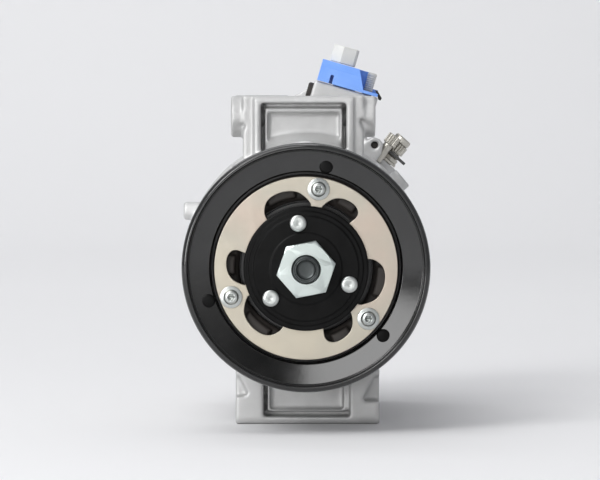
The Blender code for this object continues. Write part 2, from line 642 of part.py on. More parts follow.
def control_valve():
    turned("control_valve_body", [
        (0, 9), (4.3, 9), (4.3, 58), (CONTROL_R - 0.6, 58), (CONTROL_R, 57.4), (CONTROL_R, 5.1),
        (CONTROL_R + 1.8, 5.1), (CONTROL_R + 1.8, 1), (CONTROL_R + 0.8, 0), (0, 0)], OLIVE, MEDIUM,
        closed=False,
        at=(CONTROL_X, CONTROL_Y, CONTROL_Z), along=(1, 0, 0))
    spool = turned("control_valve_spool", [(0, 54), (4.0, 54), (4.0, 42), (2.4, 40), (2.4, 30), (4.0, 28),
                                           (4.0, 14), (0, 14)], BRIGHT, 16, closed=False,
                   at=(CONTROL_X, CONTROL_Y, CONTROL_Z), along=(1, 0, 0))
    hang(pivot("spool_axis", (CONTROL_X, CONTROL_Y, CONTROL_Z)), spool)


def relief_valve():
    x, z = polar(1.0, RELIEF_DEG)
    out = (x, 0, z)
    centre = (0, RELIEF_Y, 0)
    turned("relief_valve_body", [
        (2.2, 44), (3.5, 44), (3.5, RELIEF_SEAT), (5.8, RELIEF_SEAT), (5.8, RELIEF_SEAT + 3.6),
        (RELIEF_R, RELIEF_SEAT + 4), (RELIEF_R, RELIEF_END - 0.6), (RELIEF_R - 0.6, RELIEF_END),
        (0.9, RELIEF_END), (0.9, 67.5), (2.2, 67.5)], OLIVE, 20, at=centre, along=out)
    poppet = turned("relief_valve_poppet", [(0, 66), (1.9, 66), (1.9, 53), (0, 53)], BRIGHT, COARSE,
                    closed=False, at=centre, along=out)
    hang(pivot("poppet_axis", centre), poppet)


def port_cap():
    """Transport cap clipped over both ports, with its sealing plug and the block's stud."""
    tilt = Matrix.Rotation(-PORT_TILT, 4, "Y")
    out = port_point(0, 0, 1)
    base = PORT_TOP + GAP
    cap = block("port_cap", (CAP_U[0], CAP_Y[0], base), (CAP_U[1], CAP_Y[1], base + CAP_HEIGHT), BLUE, tilt)
    for label, y in (("suction", SUCTION_PORT_Y), ("discharge", DISCHARGE_PORT_Y)):
        join(cap, rod(f"{label}_spigot", port_point(PORT_CENTRE_U, y, base - 7), out, 9, PORT_R - 0.6, steps=16))
    cut(cap, block("stud_notch", (3.0, CAP_Y[0] - 5, base + 1.6), (CAP_U[1] + 5, STUD_Y + 4, base + 20),
                   turn=tilt))
    cut(cap, block("rear_step", (6.4, STUD_Y + 1, base + 3.2), (CAP_U[1] + 5, CAP_Y[1] + 5, base + 20),
                   turn=tilt))
    cut(cap, rod("stud_way", port_point(STUD_U, STUD_Y, base - 3), out, 20, STUD_R + 0.5))
    cut(cap, block("cap_slit", (-11.6, CAP_Y[0] - 3, base - 3), (-10.0, CAP_Y[0] + 6, base + 4.2), turn=tilt))
    plug = rod("port_cap_plug", port_point(PLUG_U, SUCTION_PORT_Y, base + CAP_HEIGHT + GAP), out, 9.0, PLUG_R,
               PALE, steps=6)
    hang(pivot("cap_axis", port_point(0, 175.5, base)), cap, plug)
    rod("port_cap_stud", port_point(STUD_U, STUD_Y, PORT_TOP - 16.5), out, 27.5, STUD_R, PALE, steps=COARSE)


# ---------------------------------------------------------------- assembly

front_housing()
cylinder_block()
valve_plates()
rear_housing()
through_bolts()
rotor = pivot("shaft_axis", (0, 0, 0))
outer_ring, ball_cage = pulley_bearing()
hang(rotor, turned("pulley", pulley_profile(), BLACK, FINE), outer_ring)
hang(rotor, drive_shaft(), lug_plate(), return_spring(), *hub_parts())
hang(pivot("ball_cage_axis", (0, 0, 0)), ball_cage)
shaft_supports()
hang(pivot("thrust_cage_axis", (0, 0, 0)), thrust_bearing())
hang(pivot("tilt_axis", (0, SWASH_Y, PISTON_PITCH_R)), *swash_plate())
piston_sets()
control_valve()
relief_valve()
port_cap()
bpy.context.view_layer.update()
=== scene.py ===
"""Looks of the air-conditioning compressor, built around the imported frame.

Lengths are in millimetres in the shape functions, which turn them into metres. The shaft runs
along +Y with its front end face at the origin; +X is right seen from the pulley, +Z is up.
"""
import math

import bmesh
import bpy
from mathutils import Matrix, Vector


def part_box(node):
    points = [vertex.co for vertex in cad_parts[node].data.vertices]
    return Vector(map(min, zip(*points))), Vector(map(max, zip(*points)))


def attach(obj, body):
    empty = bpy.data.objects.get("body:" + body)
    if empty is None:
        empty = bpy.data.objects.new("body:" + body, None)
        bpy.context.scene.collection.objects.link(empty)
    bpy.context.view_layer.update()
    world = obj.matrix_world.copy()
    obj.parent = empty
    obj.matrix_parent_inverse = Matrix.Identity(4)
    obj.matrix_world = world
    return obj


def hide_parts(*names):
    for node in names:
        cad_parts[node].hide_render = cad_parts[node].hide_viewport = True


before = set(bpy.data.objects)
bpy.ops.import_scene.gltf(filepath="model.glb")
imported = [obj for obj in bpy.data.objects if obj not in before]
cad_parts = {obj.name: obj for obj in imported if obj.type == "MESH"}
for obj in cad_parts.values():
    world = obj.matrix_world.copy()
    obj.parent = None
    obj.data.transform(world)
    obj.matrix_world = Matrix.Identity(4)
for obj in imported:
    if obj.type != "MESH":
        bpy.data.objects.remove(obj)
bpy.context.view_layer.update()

MM = 0.001


def span(node, axis):
    """Both ends of a CAD node's box on one axis, in millimetres."""
    low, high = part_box(node)
    return low[axis] / MM, high[axis] / MM


# ---- driving dimensions
PULLEY_R = span("pulley", 0)[1]
PULLEY_FRONT, PULLEY_REAR_HUB = span("pulley", 1)
GROOVES, GROOVE_PITCH, GROOVE_DEPTH, GROOVE_FRONT = 6, 3.56, 3.2, 15.4
PLATE_R = span("limiter_plate", 0)[1]
PLATE_FRONT, PLATE_REAR = span("limiter_plate", 1)
HUB_R = span("drive_hub", 0)[1]
HUB_FRONT = span("drive_hub", 1)[0]
SHAFT_R, THREAD_R = 8.0, 6.0
SHAFT_REAR = span("drive_shaft", 1)[1]
NUT_FRONT, NUT_REAR = span("hub_nut", 1)
NUT_CORNER_R, NUT_CORNER_DEG = 13.2, 11.0
SCREW_PITCH_R, SCREW_DEG = 35.4, (81.0, 201.0, 321.0)
RIVET_PITCH_R, RIVET_DEG = 20.3, (100.0, 220.0, 340.0)
SLOT_INNER_R = 26.9
# slot outlines as (degrees past the screw, radius)
LARGE_SLOT = ((4.2, SLOT_INNER_R), (5.0, 28.6), (7.5, 30.2), (11, 32.0), (14.5, 33.5), (19, 34.5),
              (25, 35.1), (30, 35.2), (35, 34.9), (39.5, 34.0), (43, 32.4), (45.8, 30.4), (47.2, 28.4),
              (47.4, SLOT_INNER_R))
SMALL_SLOT = ((-34.7, SLOT_INNER_R), (-35.3, 29.0), (-35.7, 31.4), (-34.2, 33.5), (-30.2, 34.9),
              (-24.6, 35.2), (-18, 34.5), (-12.8, 32.9), (-9.8, 31.2), (-7.6, 29.6), (-6.0, 28.2),
              (-5.4, SLOT_INNER_R))
PAD_PITCH_R, PAD_TURN = 45.6, -2.3
LOBE_ARCS = ((-6, 6), (17, 40), (58, 72), (-31, -16))
BODY_R, CRANKCASE_R, NOSE_R, NOSE_BORE_R = 56.0, 42.0, 17.4, 12.5
FRONT_WALL_Y = 58.0
FRONT_REAR_Y = span("front_housing", 1)[1]
BLOCK_FRONT, BLOCK_REAR = span("cylinder_block", 1)
REAR_FRONT, REAR_REAR = span("rear_housing", 1)
REAR_R = 55.0
BOLT_PITCH_R, BOLT_DEG, BOLT_HEAD_Y = 49.0, tuple(90.0 + 72.0 * k for k in range(5)), 196.3
BOLT_WAY_R = 3.3
PISTON_PITCH_R, PISTON_BORE_R = 28.0, 13.0
PISTON_DEG = tuple(54.0 + 72.0 * k for k in range(5))
LUG_Y, LUG_SPACING, LUG_R, LUG_BORE_R = 78.0, 100.0, 9.5, 4.3
TOP_LUG_Z, BASE_LUG_Z, BASE_Z = 66.3, -64.5, span("front_housing", 2)[0]
LUG_FRONT_DEPTH, LUG_ROOT_Z = 12.0, 44.0
TOP_WEB_X, TOP_BOSS_X, BASE_WEB_X = (-28.7, 26.5), (-34.2, 31.8), (-32.1, 33.6)
TOP_POCKET = (-20.5, 18.5, 56.5, 72.6)
BASE_POCKET = (-19.3, 20.2, -70.6, -57.5)
PORT_TILT, PORT_TOP = math.radians(-16.0), 81.2
PORT_U, PORT_Y = (-18.5, 13.0), (158.0, 194.0)
PORT_CENTRE_U, PORT_R, SUCTION_Y, DISCHARGE_Y = -4.0, 6.0, 167.0, 185.0
CAP_U, CAP_Y, CAP_HEIGHT = (-17.5, 12.4), (156.5, 194.5), 10.5
STUD_U, STUD_Y, STUD_R = 7.6, 175.5, 2.3
PLUG_U, PLUG_R = -7.9, 6.6
CONTROL_X, CONTROL_Y, CONTROL_Z, CONTROL_R = -47.5, 193.5, -22.5, 9.0
RELIEF_DEG, RELIEF_Y, RELIEF_R, RELIEF_SEAT, RELIEF_END = 49.0, 172.0, 4.6, 58.8, 72.9
SERVICE_CAP_DEG, SERVICE_CAP_Y = 52.4, 164.6
EAR_Y, EAR_HOLE_R, EAR_HOLE_DEG = (157.0, 162.0), 61.6, 57.4
CASTING_VOXEL = 0.7
TURN_STEPS = 192


# ---- materials

class Nodes:
    """Adds shader nodes to one material and links them."""

    def __init__(self, name):
        self.material = bpy.data.materials.new(name)
        self.material.use_nodes = True
        self.tree = self.material.node_tree
        self.shader = self.tree.nodes["Principled BSDF"]
        self.place = self.add("ShaderNodeTexCoord").outputs["Object"]

    def add(self, kind, **values):
        node = self.tree.nodes.new(kind)
        for key, value in values.items():
            setattr(node, key, value)
        return node

    def link(self, source, target):
        self.tree.links.new(source, target)

    def noise(self, scale, detail=4.0, rough=0.6, vector=None, stretch=None):
        node = self.add("ShaderNodeTexNoise")
        node.inputs["Scale"].default_value = scale
        node.inputs["Detail"].default_value = detail
        node.inputs["Roughness"].default_value = rough
        source = vector or self.place
        if stretch is not None:
            mapping = self.add("ShaderNodeMapping")
            mapping.inputs["Scale"].default_value = stretch
            self.link(source, mapping.inputs["Vector"])
            source = mapping.outputs["Vector"]
        self.link(source, node.inputs["Vector"])
        return node.outputs["Fac"]

    def rings(self, scale):
        """A fine noise that only changes with the distance from the shaft: lathe marks."""
        split = self.add("ShaderNodeSeparateXYZ")
        self.link(self.place, split.inputs[0])
        radius = self.add("ShaderNodeVectorMath", operation="LENGTH")
        flat = self.add("ShaderNodeCombineXYZ")
        self.link(split.outputs["X"], flat.inputs["X"])
        self.link(split.outputs["Z"], flat.inputs["Y"])
        self.link(flat.outputs[0], radius.inputs[0])
        line = self.add("ShaderNodeCombineXYZ")
        self.link(radius.outputs["Value"], line.inputs["X"])
        self.link(split.outputs["Y"], line.inputs["Y"])
        return self.noise(scale, 2.0, 0.5, line.outputs[0])

    def ramp(self, source, stops):
        node = self.add("ShaderNodeValToRGB")
        for k, (position, colour) in enumerate(stops):
            if k < 2:
                stop = node.color_ramp.elements[k]
                stop.position = position
            else:
                stop = node.color_ramp.elements.new(position)
            stop.color = (*colour, 1.0)
        self.link(source, node.inputs["Fac"])
        return node.outputs["Color"]

    def between(self, source, low, high, start=0.3, end=0.7):
        node = self.add("ShaderNodeMapRange")
        node.inputs["From Min"].default_value = start
        node.inputs["From Max"].default_value = end
        node.inputs["To Min"].default_value = low
        node.inputs["To Max"].default_value = high
        self.link(source, node.inputs["Value"])
        return node.outputs["Result"]

    def blend(self, share, below, above):
        node = self.add("ShaderNodeMix", data_type="RGBA")
        self.link(share, node.inputs["Factor"])
        self.link(below, node.inputs["A"])
        node.inputs["B"].default_value = (*above, 1.0)
        return node.outputs["Result"]

    def bump(self, source, depth, strength=1.0, below=None):
        node = self.add("ShaderNodeBump")
        node.inputs["Distance"].default_value = depth
        node.inputs["Strength"].default_value = strength
        self.link(source, node.inputs["Height"])
        if below is not None:
            self.link(below, node.inputs["Normal"])
        return node.outputs["Normal"]

    def finish(self, colour, roughness, normal, metallic=0.0, coat=0.0, specular=0.5):
        self.link(colour, self.shader.inputs["Base Color"])
        self.link(roughness, self.shader.inputs["Roughness"])
        self.link(normal, self.shader.inputs["Normal"])
        self.shader.inputs["Metallic"].default_value = metallic
        self.shader.inputs["Coat Weight"].default_value = coat
        self.shader.inputs["Coat Roughness"].default_value = 0.06
        self.shader.inputs["Specular IOR Level"].default_value = specular
        return self.material


def edge_wear(nodes, colour, worn, amount):
    """Lighter metal where the surface turns sharply outward."""
    pointiness = nodes.add("ShaderNodeNewGeometry").outputs["Pointiness"]
    return nodes.blend(nodes.between(pointiness, 0.0, amount, 0.52, 0.62), colour, worn)


def cast_aluminium(name, light, dark, metallic):
    """Sand-textured casting with soft blotches and a fine grain."""
    n = Nodes(name)
    blotch = n.noise(26.0, 5.0, 0.6)
    colour = edge_wear(n, n.ramp(blotch, ((0.32, dark), (0.68, light))), light, 0.4)
    grain = n.noise(1500.0, 3.0, 0.7)
    pits = n.noise(420.0, 2.0, 0.5)
    normal = n.bump(grain, 0.00012, 0.5, n.bump(pits, 0.0002, 0.35))
    return n.finish(colour, n.between(n.noise(60.0), 0.4, 0.56), normal, metallic)


def machined(name, light, dark, low, high, metallic=1.0, marks=2600.0, depth=0.00003):
    """Turned or ground metal: lathe marks round the shaft and a faint stain."""
    n = Nodes(name)
    colour = n.ramp(n.noise(70.0, 4.0, 0.6), ((0.3, dark), (0.7, light)))
    normal = n.bump(n.rings(marks), depth, 0.6, n.bump(n.noise(900.0), 0.00003, 0.4))
    return n.finish(colour, n.between(n.noise(140.0), low, high), normal, metallic)


def plated_sheet(name):
    """Warm passivated zinc on rolled sheet: beige, pink and yellow clouds, fine brushing."""
    n = Nodes(name)
    clouds = n.noise(22.0, 3.0, 0.5)
    colour = n.ramp(clouds, ((0.3, (0.47, 0.39, 0.33)), (0.5, (0.42, 0.39, 0.33)), (0.7, (0.47, 0.43, 0.35))))
    brushing = n.noise(420.0, 4.0, 0.6, stretch=(1.0, 1.0, 9.0))
    normal = n.bump(brushing, 0.00003, 0.6)
    return n.finish(colour, n.between(n.noise(300.0), 0.3, 0.44), normal, 0.85)


def gloss_black(name, low, high, coat, grain, specular=0.5, tone=1.0):
    """Black paint: slight orange peel under the gloss, dust that dulls it in places."""
    n = Nodes(name)
    low_tone, high_tone = 0.006 * tone, 0.0135 * tone
    colour = n.ramp(n.noise(90.0, 5.0, 0.6), ((0.35, (low_tone,) * 3), (0.75, (high_tone,) * 3)))
    normal = n.bump(n.noise(520.0, 2.0, 0.5), grain, 0.5)
    return n.finish(colour, n.between(n.noise(45.0, 5.0), low, high), normal, 0.0, coat, specular)


def moulded(name, light, dark, low, high, grain=0.00004):
    """Moulded plastic with a fine skin texture."""
    n = Nodes(name)
    colour = n.ramp(n.noise(55.0, 3.0, 0.5), ((0.3, dark), (0.7, light)))
    normal = n.bump(n.noise(1100.0, 2.0, 0.6), grain, 0.5)
    return n.finish(colour, n.between(n.noise(120.0), low, high), normal)


CAST = cast_aluminium("cast_aluminium_look", (0.6, 0.6, 0.595), (0.46, 0.46, 0.455), 0.45)
GLOSS = gloss_black("pulley_gloss", 0.06, 0.1, 0.4, 0.00001)
RIM = gloss_black("pulley_rim_satin", 0.3, 0.42, 0.1, 0.00004)
SATIN = gloss_black("hub_satin", 0.28, 0.38, 0.0, 0.00005, 0.08, 0.55)
SHEET = plated_sheet("limiter_sheet")
BRIGHT = machined("bright_zinc", (0.56, 0.58, 0.56), (0.4, 0.42, 0.41), 0.26, 0.38, marks=1200.0)
NUT = machined("nut_zinc", (0.5, 0.545, 0.53), (0.43, 0.48, 0.46), 0.28, 0.4, 0.9, 1500.0)
STEEL = machined("ground_steel", (0.56, 0.56, 0.55), (0.42, 0.42, 0.42), 0.2, 0.34)
SHAFT = machined("shaft_end_steel", (0.09, 0.1, 0.1), (0.05, 0.055, 0.055), 0.3, 0.45, 0.9, 3000.0, 0.00006)
DARK = machined("phosphated_steel", (0.14, 0.14, 0.14), (0.08, 0.08, 0.08), 0.38, 0.55, 0.8)
OLIVE = machined("olive_plating", (0.62, 0.6, 0.55), (0.4, 0.385, 0.345), 0.3, 0.45, 0.85, 1500.0, 0.00005)
CAGE = machined("cage_brass", (0.55, 0.43, 0.22), (0.42, 0.32, 0.16), 0.3, 0.45)
RUBBER = moulded("damper_rubber_look", (0.03, 0.024, 0.02), (0.012, 0.01, 0.009), 0.6, 0.8, 0.00012)
SEAL = moulded("gasket_look", (0.1, 0.1, 0.11), (0.06, 0.06, 0.065), 0.5, 0.7)
BLUE = moulded("cap_blue_look", (0.22, 0.42, 0.94), (0.15, 0.34, 0.88), 0.32, 0.42)
PALE = moulded("plug_pale_look", (0.72, 0.72, 0.69), (0.6, 0.6, 0.58), 0.38, 0.5)


# ---- shape helpers

def polar(radius, degrees):
    angle = math.radians(degrees)
    return radius * math.cos(angle), radius * math.sin(angle)


def port_point(u, y, n):
    """A point given across (u) and out of (n) the tilted port face."""
    c, s = math.cos(PORT_TILT), math.sin(PORT_TILT)
    return Vector((u * c - n * s, y, u * s + n * c))


PORT_OUT = port_point(0, 0, 1)
PORT_TURN = Matrix.Rotation(-PORT_TILT, 4, "Y")


def about_shaft(degrees, y=0.0):
    """Turns +X to an angle round the shaft, at a place along it."""
    return Matrix.Translation((0, y * MM, 0)) @ Matrix.Rotation(-math.radians(degrees), 4, "Y")


def finished_mesh(name, bm):
    mesh = bpy.data.meshes.new(name)
    bm.to_mesh(mesh)
    bm.free()
    return mesh


def new_piece(name, mesh, material):
    obj = bpy.data.objects.new(name, mesh)
    bpy.context.scene.collection.objects.link(obj)
    if material is not None:
        mesh.materials.clear()
        mesh.materials.append(material)
    return obj


def smooth(obj, degrees=32):
    """Smooth shading that keeps large faces flat and sharp corners sharp."""
    obj.data.shade_smooth()
    obj.data.set_sharp_from_angle(angle=math.radians(degrees))
    modifier = obj.modifiers.new("normals", "WEIGHTED_NORMAL")
    modifier.mode = "FACE_AREA"
    modifier.weight = 50
    modifier.keep_sharp = True
    return bake(obj)


def bake(obj):
    """Apply every modifier to the mesh."""
    bpy.context.view_layer.update()
    graph = bpy.context.evaluated_depsgraph_get()
    mesh = bpy.data.meshes.new_from_object(obj.evaluated_get(graph))
    obj.modifiers.clear()
    obj.data = mesh
    return obj


def soften(points, radius, closed):
    """Round each corner of a profile with a short curve of three or four points."""
    result = []
    count = len(points)
    for k, (r, d) in enumerate(points):
        if not closed and k in (0, count - 1):
            result.append((r, d))
            continue
        here = Vector((r, d))
        before = Vector(points[k - 1]) - here
        after = Vector(points[(k + 1) % count]) - here
        if before.length < 1e-6 or after.length < 1e-6 or r < 1e-6:
            result.append((r, d))
            continue
        if before.angle(after) > math.radians(172):
            result.append((r, d))
            continue
        reach = min(radius, 0.42 * before.length, 0.42 * after.length)
        start, end = here + before.normalized() * reach, here + after.normalized() * reach
        for t in (0.0, 0.33, 0.67, 1.0):
            point = start * (1 - t) ** 2 + here * 2 * t * (1 - t) + end * t ** 2
            result.append((point.x, point.y))
    return result


def lathe(name, profile, material, steps=None, closed=True, at=(0, 0, 0), along=(0, 1, 0), edge=0.3):
    """Revolve a softened (radius, distance) profile about an axis."""
    steps = steps or TURN_STEPS
    points = soften(profile, edge, closed)
    bm = bmesh.new()
    rings = []
    for r, d in points:
        if r < 1e-6:
            rings.append([bm.verts.new((0, 0, d * MM))])
            continue
        ring = []
        for k in range(steps):
            x, y = polar(r, 360.0 * k / steps)
            ring.append(bm.verts.new((x * MM, y * MM, d * MM)))
        rings.append(ring)
    pairs = list(zip(rings, rings[1:]))
    if closed:
        pairs.append((rings[-1], rings[0]))
    for a, b in pairs:
        for k in range(steps):
            corners = [a[k % len(a)], a[(k + 1) % len(a)], b[(k + 1) % len(b)], b[k % len(b)]]
            unique = list(dict.fromkeys(corners))
            if len(unique) > 2:
                bm.faces.new(unique)
    turn = Vector(along).to_track_quat("Z", "Y").to_matrix().to_4x4()
    bmesh.ops.transform(bm, matrix=Matrix.Translation(Vector(at) * MM) @ turn, verts=bm.verts)
    bmesh.ops.recalc_face_normals(bm, faces=bm.faces)
    mesh = finished_mesh(name, bm)
    return smooth(new_piece(name, mesh, material))


def circle(radius, steps, centre=(0, 0), start=0.0):
    spin = [math.radians(start + 360.0 * k / steps) for k in range(steps)]
    return [(centre[0] + radius * math.cos(a), centre[1] + radius * math.sin(a)) for a in spin]


def arc(centre, radius, start, end, steps):
    spin = [math.radians(start + (end - start) * k / steps) for k in range(steps + 1)]
    return [(centre[0] + radius * math.cos(a), centre[1] + radius * math.sin(a)) for a in spin]


def prism(name, outlines, low, high, material=None, axis="Y", edge=0.0, turn=None):
    """Extrude flat outlines, (x, z) along Y or (y, z) along X, with rounded rims."""
    curve = bpy.data.curves.new(name + "_outline", "CURVE")
    curve.dimensions = "2D"
    curve.fill_mode = "BOTH"
    curve.extrude = ((high - low) / 2 - edge) * MM
    curve.bevel_depth = edge * MM
    curve.bevel_resolution = 2
    curve.offset = -edge * MM
    for outline in outlines:
        spline = curve.splines.new("POLY")
        spline.points.add(len(outline) - 1)
        for point, (a, b) in zip(spline.points, outline):
            point.co = (a * MM, b * MM, 0, 1)
        spline.use_cyclic_u = True
    source = bpy.data.objects.new(name + "_outline", curve)
    bpy.context.scene.collection.objects.link(source)
    bpy.context.view_layer.update()
    mesh = bpy.data.meshes.new_from_object(source.evaluated_get(bpy.context.evaluated_depsgraph_get()))
    bpy.data.objects.remove(source, do_unlink=True)
    middle = (low + high) / 2 * MM
    if axis == "Y":
        facing = Matrix(((1, 0, 0), (0, 0, -1), (0, 1, 0)))
        place = Matrix.Translation((0, middle, 0))
    else:
        facing = Matrix(((0, 0, 1), (1, 0, 0), (0, 1, 0)))
        place = Matrix.Translation((middle, 0, 0))
    bm = bmesh.new()
    bm.from_mesh(mesh)
    bmesh.ops.remove_doubles(bm, verts=bm.verts, dist=0.0000005)
    bmesh.ops.transform(bm, matrix=place @ facing.to_4x4(), verts=bm.verts)
    if turn is not None:
        bmesh.ops.transform(bm, matrix=turn, verts=bm.verts)
    bmesh.ops.recalc_face_normals(bm, faces=bm.faces)
    bm.to_mesh(mesh)
    bm.free()
    mesh.name = name
    return smooth(new_piece(name, mesh, material))


def rod(name, start, along, length, radius, steps=48, top=None):
    direction = Vector(along).normalized()
    centre = Vector(start) + direction * (length / 2)
    bm = bmesh.new()
    turn = direction.to_track_quat("Z", "Y").to_matrix().to_4x4()
    bmesh.ops.create_cone(bm, cap_ends=True, segments=steps, radius1=radius, radius2=top or radius,
                          depth=length, matrix=Matrix.Translation(centre) @ turn)
    return close_up(name, bm, None)


def pitch_rods(pitch_r, degrees, low, high, radius, steps=48):
    """Rods along Y, spread round the shaft."""
    found = []
    for deg in degrees:
        x, z = polar(pitch_r, deg)
        found.append(rod("way", (x, low, z), (0, 1, 0), high - low, radius, steps=steps))
    return found


def block(name, low, high, material=None, turn=None):
    size = [b - a for a, b in zip(low, high)]
    middle = [(a + b) / 2 for a, b in zip(low, high)]
    bm = bmesh.new()
    bmesh.ops.create_cube(bm, size=1.0, matrix=Matrix.Translation(middle) @ Matrix.Diagonal((*size, 1.0)))
    if turn is not None:
        bmesh.ops.transform(bm, matrix=turn, verts=bm.verts)
    return close_up(name, bm, material)


def port_box(name, u, y, n, material=None):
    """A block whose sides follow the tilted port face."""
    return block(name, (u[0], y[0], n[0]), (u[1], y[1], n[1]), material, PORT_TURN)


def close_up(name, bm, material):
    bmesh.ops.scale(bm, vec=(MM, MM, MM), verts=bm.verts)
    bmesh.ops.recalc_face_normals(bm, faces=bm.faces)
    mesh = finished_mesh(name, bm)
    return new_piece(name, mesh, material)


def carve(obj, joins, cuts, limits=()):
    """Join, cut and trim to limits with throwaway tools, then apply."""
    material = obj.data.materials[0] if obj.data.materials else None
    tools = [(t, "UNION") for t in joins] + [(t, "DIFFERENCE") for t in cuts]
    tools += [(t, "INTERSECT") for t in limits]
    for tool, operation in tools:
        modifier = obj.modifiers.new(operation, "BOOLEAN")
        modifier.operation = operation
        modifier.object = tool
        modifier.solver = "EXACT"
    bake(obj)
    for tool, _ in tools:
        bpy.data.objects.remove(tool, do_unlink=True)
    obj.data.materials.clear()
    if material is not None:
        obj.data.materials.append(material)
    return obj


def fillet_casting(obj, material=CAST, voxel=CASTING_VOXEL, rounds=4):
    """Melt the sharp joins into cast fillets with a fine voxel skin."""
    remesh = obj.modifiers.new("skin", "REMESH")
    remesh.mode = "VOXEL"
    remesh.voxel_size = voxel * MM
    relax = obj.modifiers.new("relax", "SMOOTH")
    relax.factor = 0.5
    relax.iterations = rounds
    bake(obj)
    obj.data.shade_smooth()
    obj.data.materials.clear()
    obj.data.materials.append(material)
    return obj


def bevel(obj, width, segments):
    modifier = obj.modifiers.new("edge", "BEVEL")
    modifier.width = width * MM
    modifier.segments = segments
    modifier.limit_method = "ANGLE"
    modifier.angle_limit = math.radians(30)
    modifier.harden_normals = False
    bake(obj)
    return smooth(obj, 40)


def settle(obj, body, slot, *nodes):
    """Ride on a body and stand for the CAD nodes; the slot is not used."""
    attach(obj, body)
    if nodes:
        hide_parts(*nodes)
    return obj


# ---- pulley and hub

def pulley():
    points = [(53.6, PULLEY_FRONT + 0.1), (54.35, PULLEY_FRONT + 0.6), (54.8, PULLEY_FRONT + 1.3),
              (PULLEY_R, PULLEY_FRONT + 2.0)]
    for k in range(GROOVES):
        start = GROOVE_FRONT + k * GROOVE_PITCH
        points += [(PULLEY_R, start + 0.45), (PULLEY_R - GROOVE_DEPTH, start + GROOVE_PITCH / 2 - 0.25),
                   (PULLEY_R - GROOVE_DEPTH, start + GROOVE_PITCH / 2 + 0.25),
                   (PULLEY_R, start + GROOVE_PITCH - 0.45)]
    points += [(PULLEY_R, 38.6), (54.2, 39.4), (47, 39.4), (46.2, 31), (31.5, 31), (31.5, PULLEY_REAR_HUB),
               (27.8, PULLEY_REAR_HUB), (27.8, 28.6), (25.6, 28.6), (25.6, 23.5), (28.9, 23.5), (28.9, 27.2),
               (42.3, 27.2), (42.3, 18.9), (42.9, 18.35), (51.7, 17.6), (52.15, 16.8),
               (52.3, 14.1), (52.8, PULLEY_FRONT)]
    piece = lathe("pulley_body", points, RIM, steps=256, edge=0.22)
    piece.data.materials.append(GLOSS)
    for face in piece.data.polygons:
        radius = math.hypot(face.center.x, face.center.z) / MM
        depth = face.center.y / MM
        if (depth < 19.6 and 42.2 < radius < 52.2) or (depth < 15.3 and radius > 52.7):
            face.material_index = 1
    return settle(piece, "rotor", "pulley_black", "pulley")


def dark_ring_pads():
    """Small black pads on the dished ring, one outside each screw, darkening the ring there."""
    for k, deg in enumerate(SCREW_DEG):
        x, z = polar(PAD_PITCH_R, deg + PAD_TURN)
        profile = [(0, 17.6), (1.5, 17.62), (2.4, 17.75), (3.0, 18.05), (3.1, 18.7), (0, 18.7)]
        pad = lathe(f"dark_ring_pad_{k + 1}", profile, SATIN, 48, False, at=(x, 0, z), edge=0.1)
        settle(pad, "rotor", "damper_rubber")


def through_points(points):
    """A smooth open line through (degrees, radius) points, given back as (x, z)."""
    line = []
    steps = 4
    last = len(points) - 1
    for k in range(last):
        a, b, c, d = (Vector(points[max(0, min(last, k + j))]) for j in (-1, 0, 1, 2))
        for step in range(steps):
            t = step / steps
            twice = 2 * b + (c - a) * t
            twice += (2 * a - 5 * b + 4 * c - d) * t * t
            twice += (3 * b - a - 3 * c + d) * t ** 3
            line.append(polar(twice.y / 2, twice.x / 2))
    line.append(polar(points[-1][1], points[-1][0]))
    return line


def kidney(turn, points):
    """A slot bent round the shaft: a full rounded outer side, the inner side under the hub."""
    points = [(deg + turn, radius) for deg, radius in points]
    return through_points(points) + arc((0, 0), SLOT_INNER_R, points[-1][0], points[0][0], 12)[1:-1]


def limiter_plate():
    outlines = [circle(PLATE_R, 256), circle(13.0, 96)]
    for deg in SCREW_DEG:
        outlines.append(kidney(deg, LARGE_SLOT))
        outlines.append(kidney(deg, SMALL_SLOT))
        outlines.append(circle(2.5, 32, polar(SCREW_PITCH_R, deg)))
    for deg in RIVET_DEG:
        outlines.append(circle(2.1, 24, polar(RIVET_PITCH_R, deg)))
    piece = prism("limiter_plate_sheet", outlines, PLATE_FRONT, PLATE_REAR, SHEET, edge=0.28)
    return settle(piece, "rotor", "zinc_plate", "limiter_plate")


def dampers():
    """Soft moulded rubber ring with a rounded lobe behind each slot and each screw."""
    profile = [(29.6, 26.4), (29.6, 21.0), (31.4, 19.4), (39.4, 19.4), (41.3, 21.0), (41.3, 26.4)]
    ring = lathe("damper_rubber_ring", profile, RUBBER, 128, edge=0.8)
    lobes = []
    for deg in SCREW_DEG:
        for low, high in LOBE_ARCS:
            outline = arc((0, 0), 39.6, deg + low, deg + high, 10)
            outline += arc((0, 0), 31.4, deg + high, deg + low, 8)
            lobes.append(prism("lobe", [outline], 17.0, 21.0, None, edge=1.2))
    carve(ring, lobes, ())
    fillet_casting(ring, RUBBER, 0.55, 6)
    carve(ring, (), pitch_rods(SCREW_PITCH_R, SCREW_DEG, 10, 30, 2.45))
    ring.data.shade_smooth()
    return settle(ring, "rotor", "damper_rubber", "damper_ring")


def drive_hub():
    front = HUB_FRONT
    points = [(THREAD_R + 0.4, front), (15.5, front), (16.2, front + 0.35), (22.9, front + 0.35),
              (23.5, front + 1.0), (25.0, front + 1.0), (25.5, front + 1.7), (27.0, front + 1.7),
              (HUB_R, front + 2.1), (HUB_R, front + 3.2), (11, front + 3.2), (11, 24), (SHAFT_R + 0.3, 24),
              (SHAFT_R + 0.3, 13.2), (THREAD_R + 0.4, 13.2)]
    hub = lathe("drive_hub_body", points, SATIN, edge=0.25)
    carve(hub, (), pitch_rods(RIVET_PITCH_R, RIVET_DEG, 5, 20, 2.1))
    smooth(hub)
    return settle(hub, "rotor", "hub_black", "drive_hub")


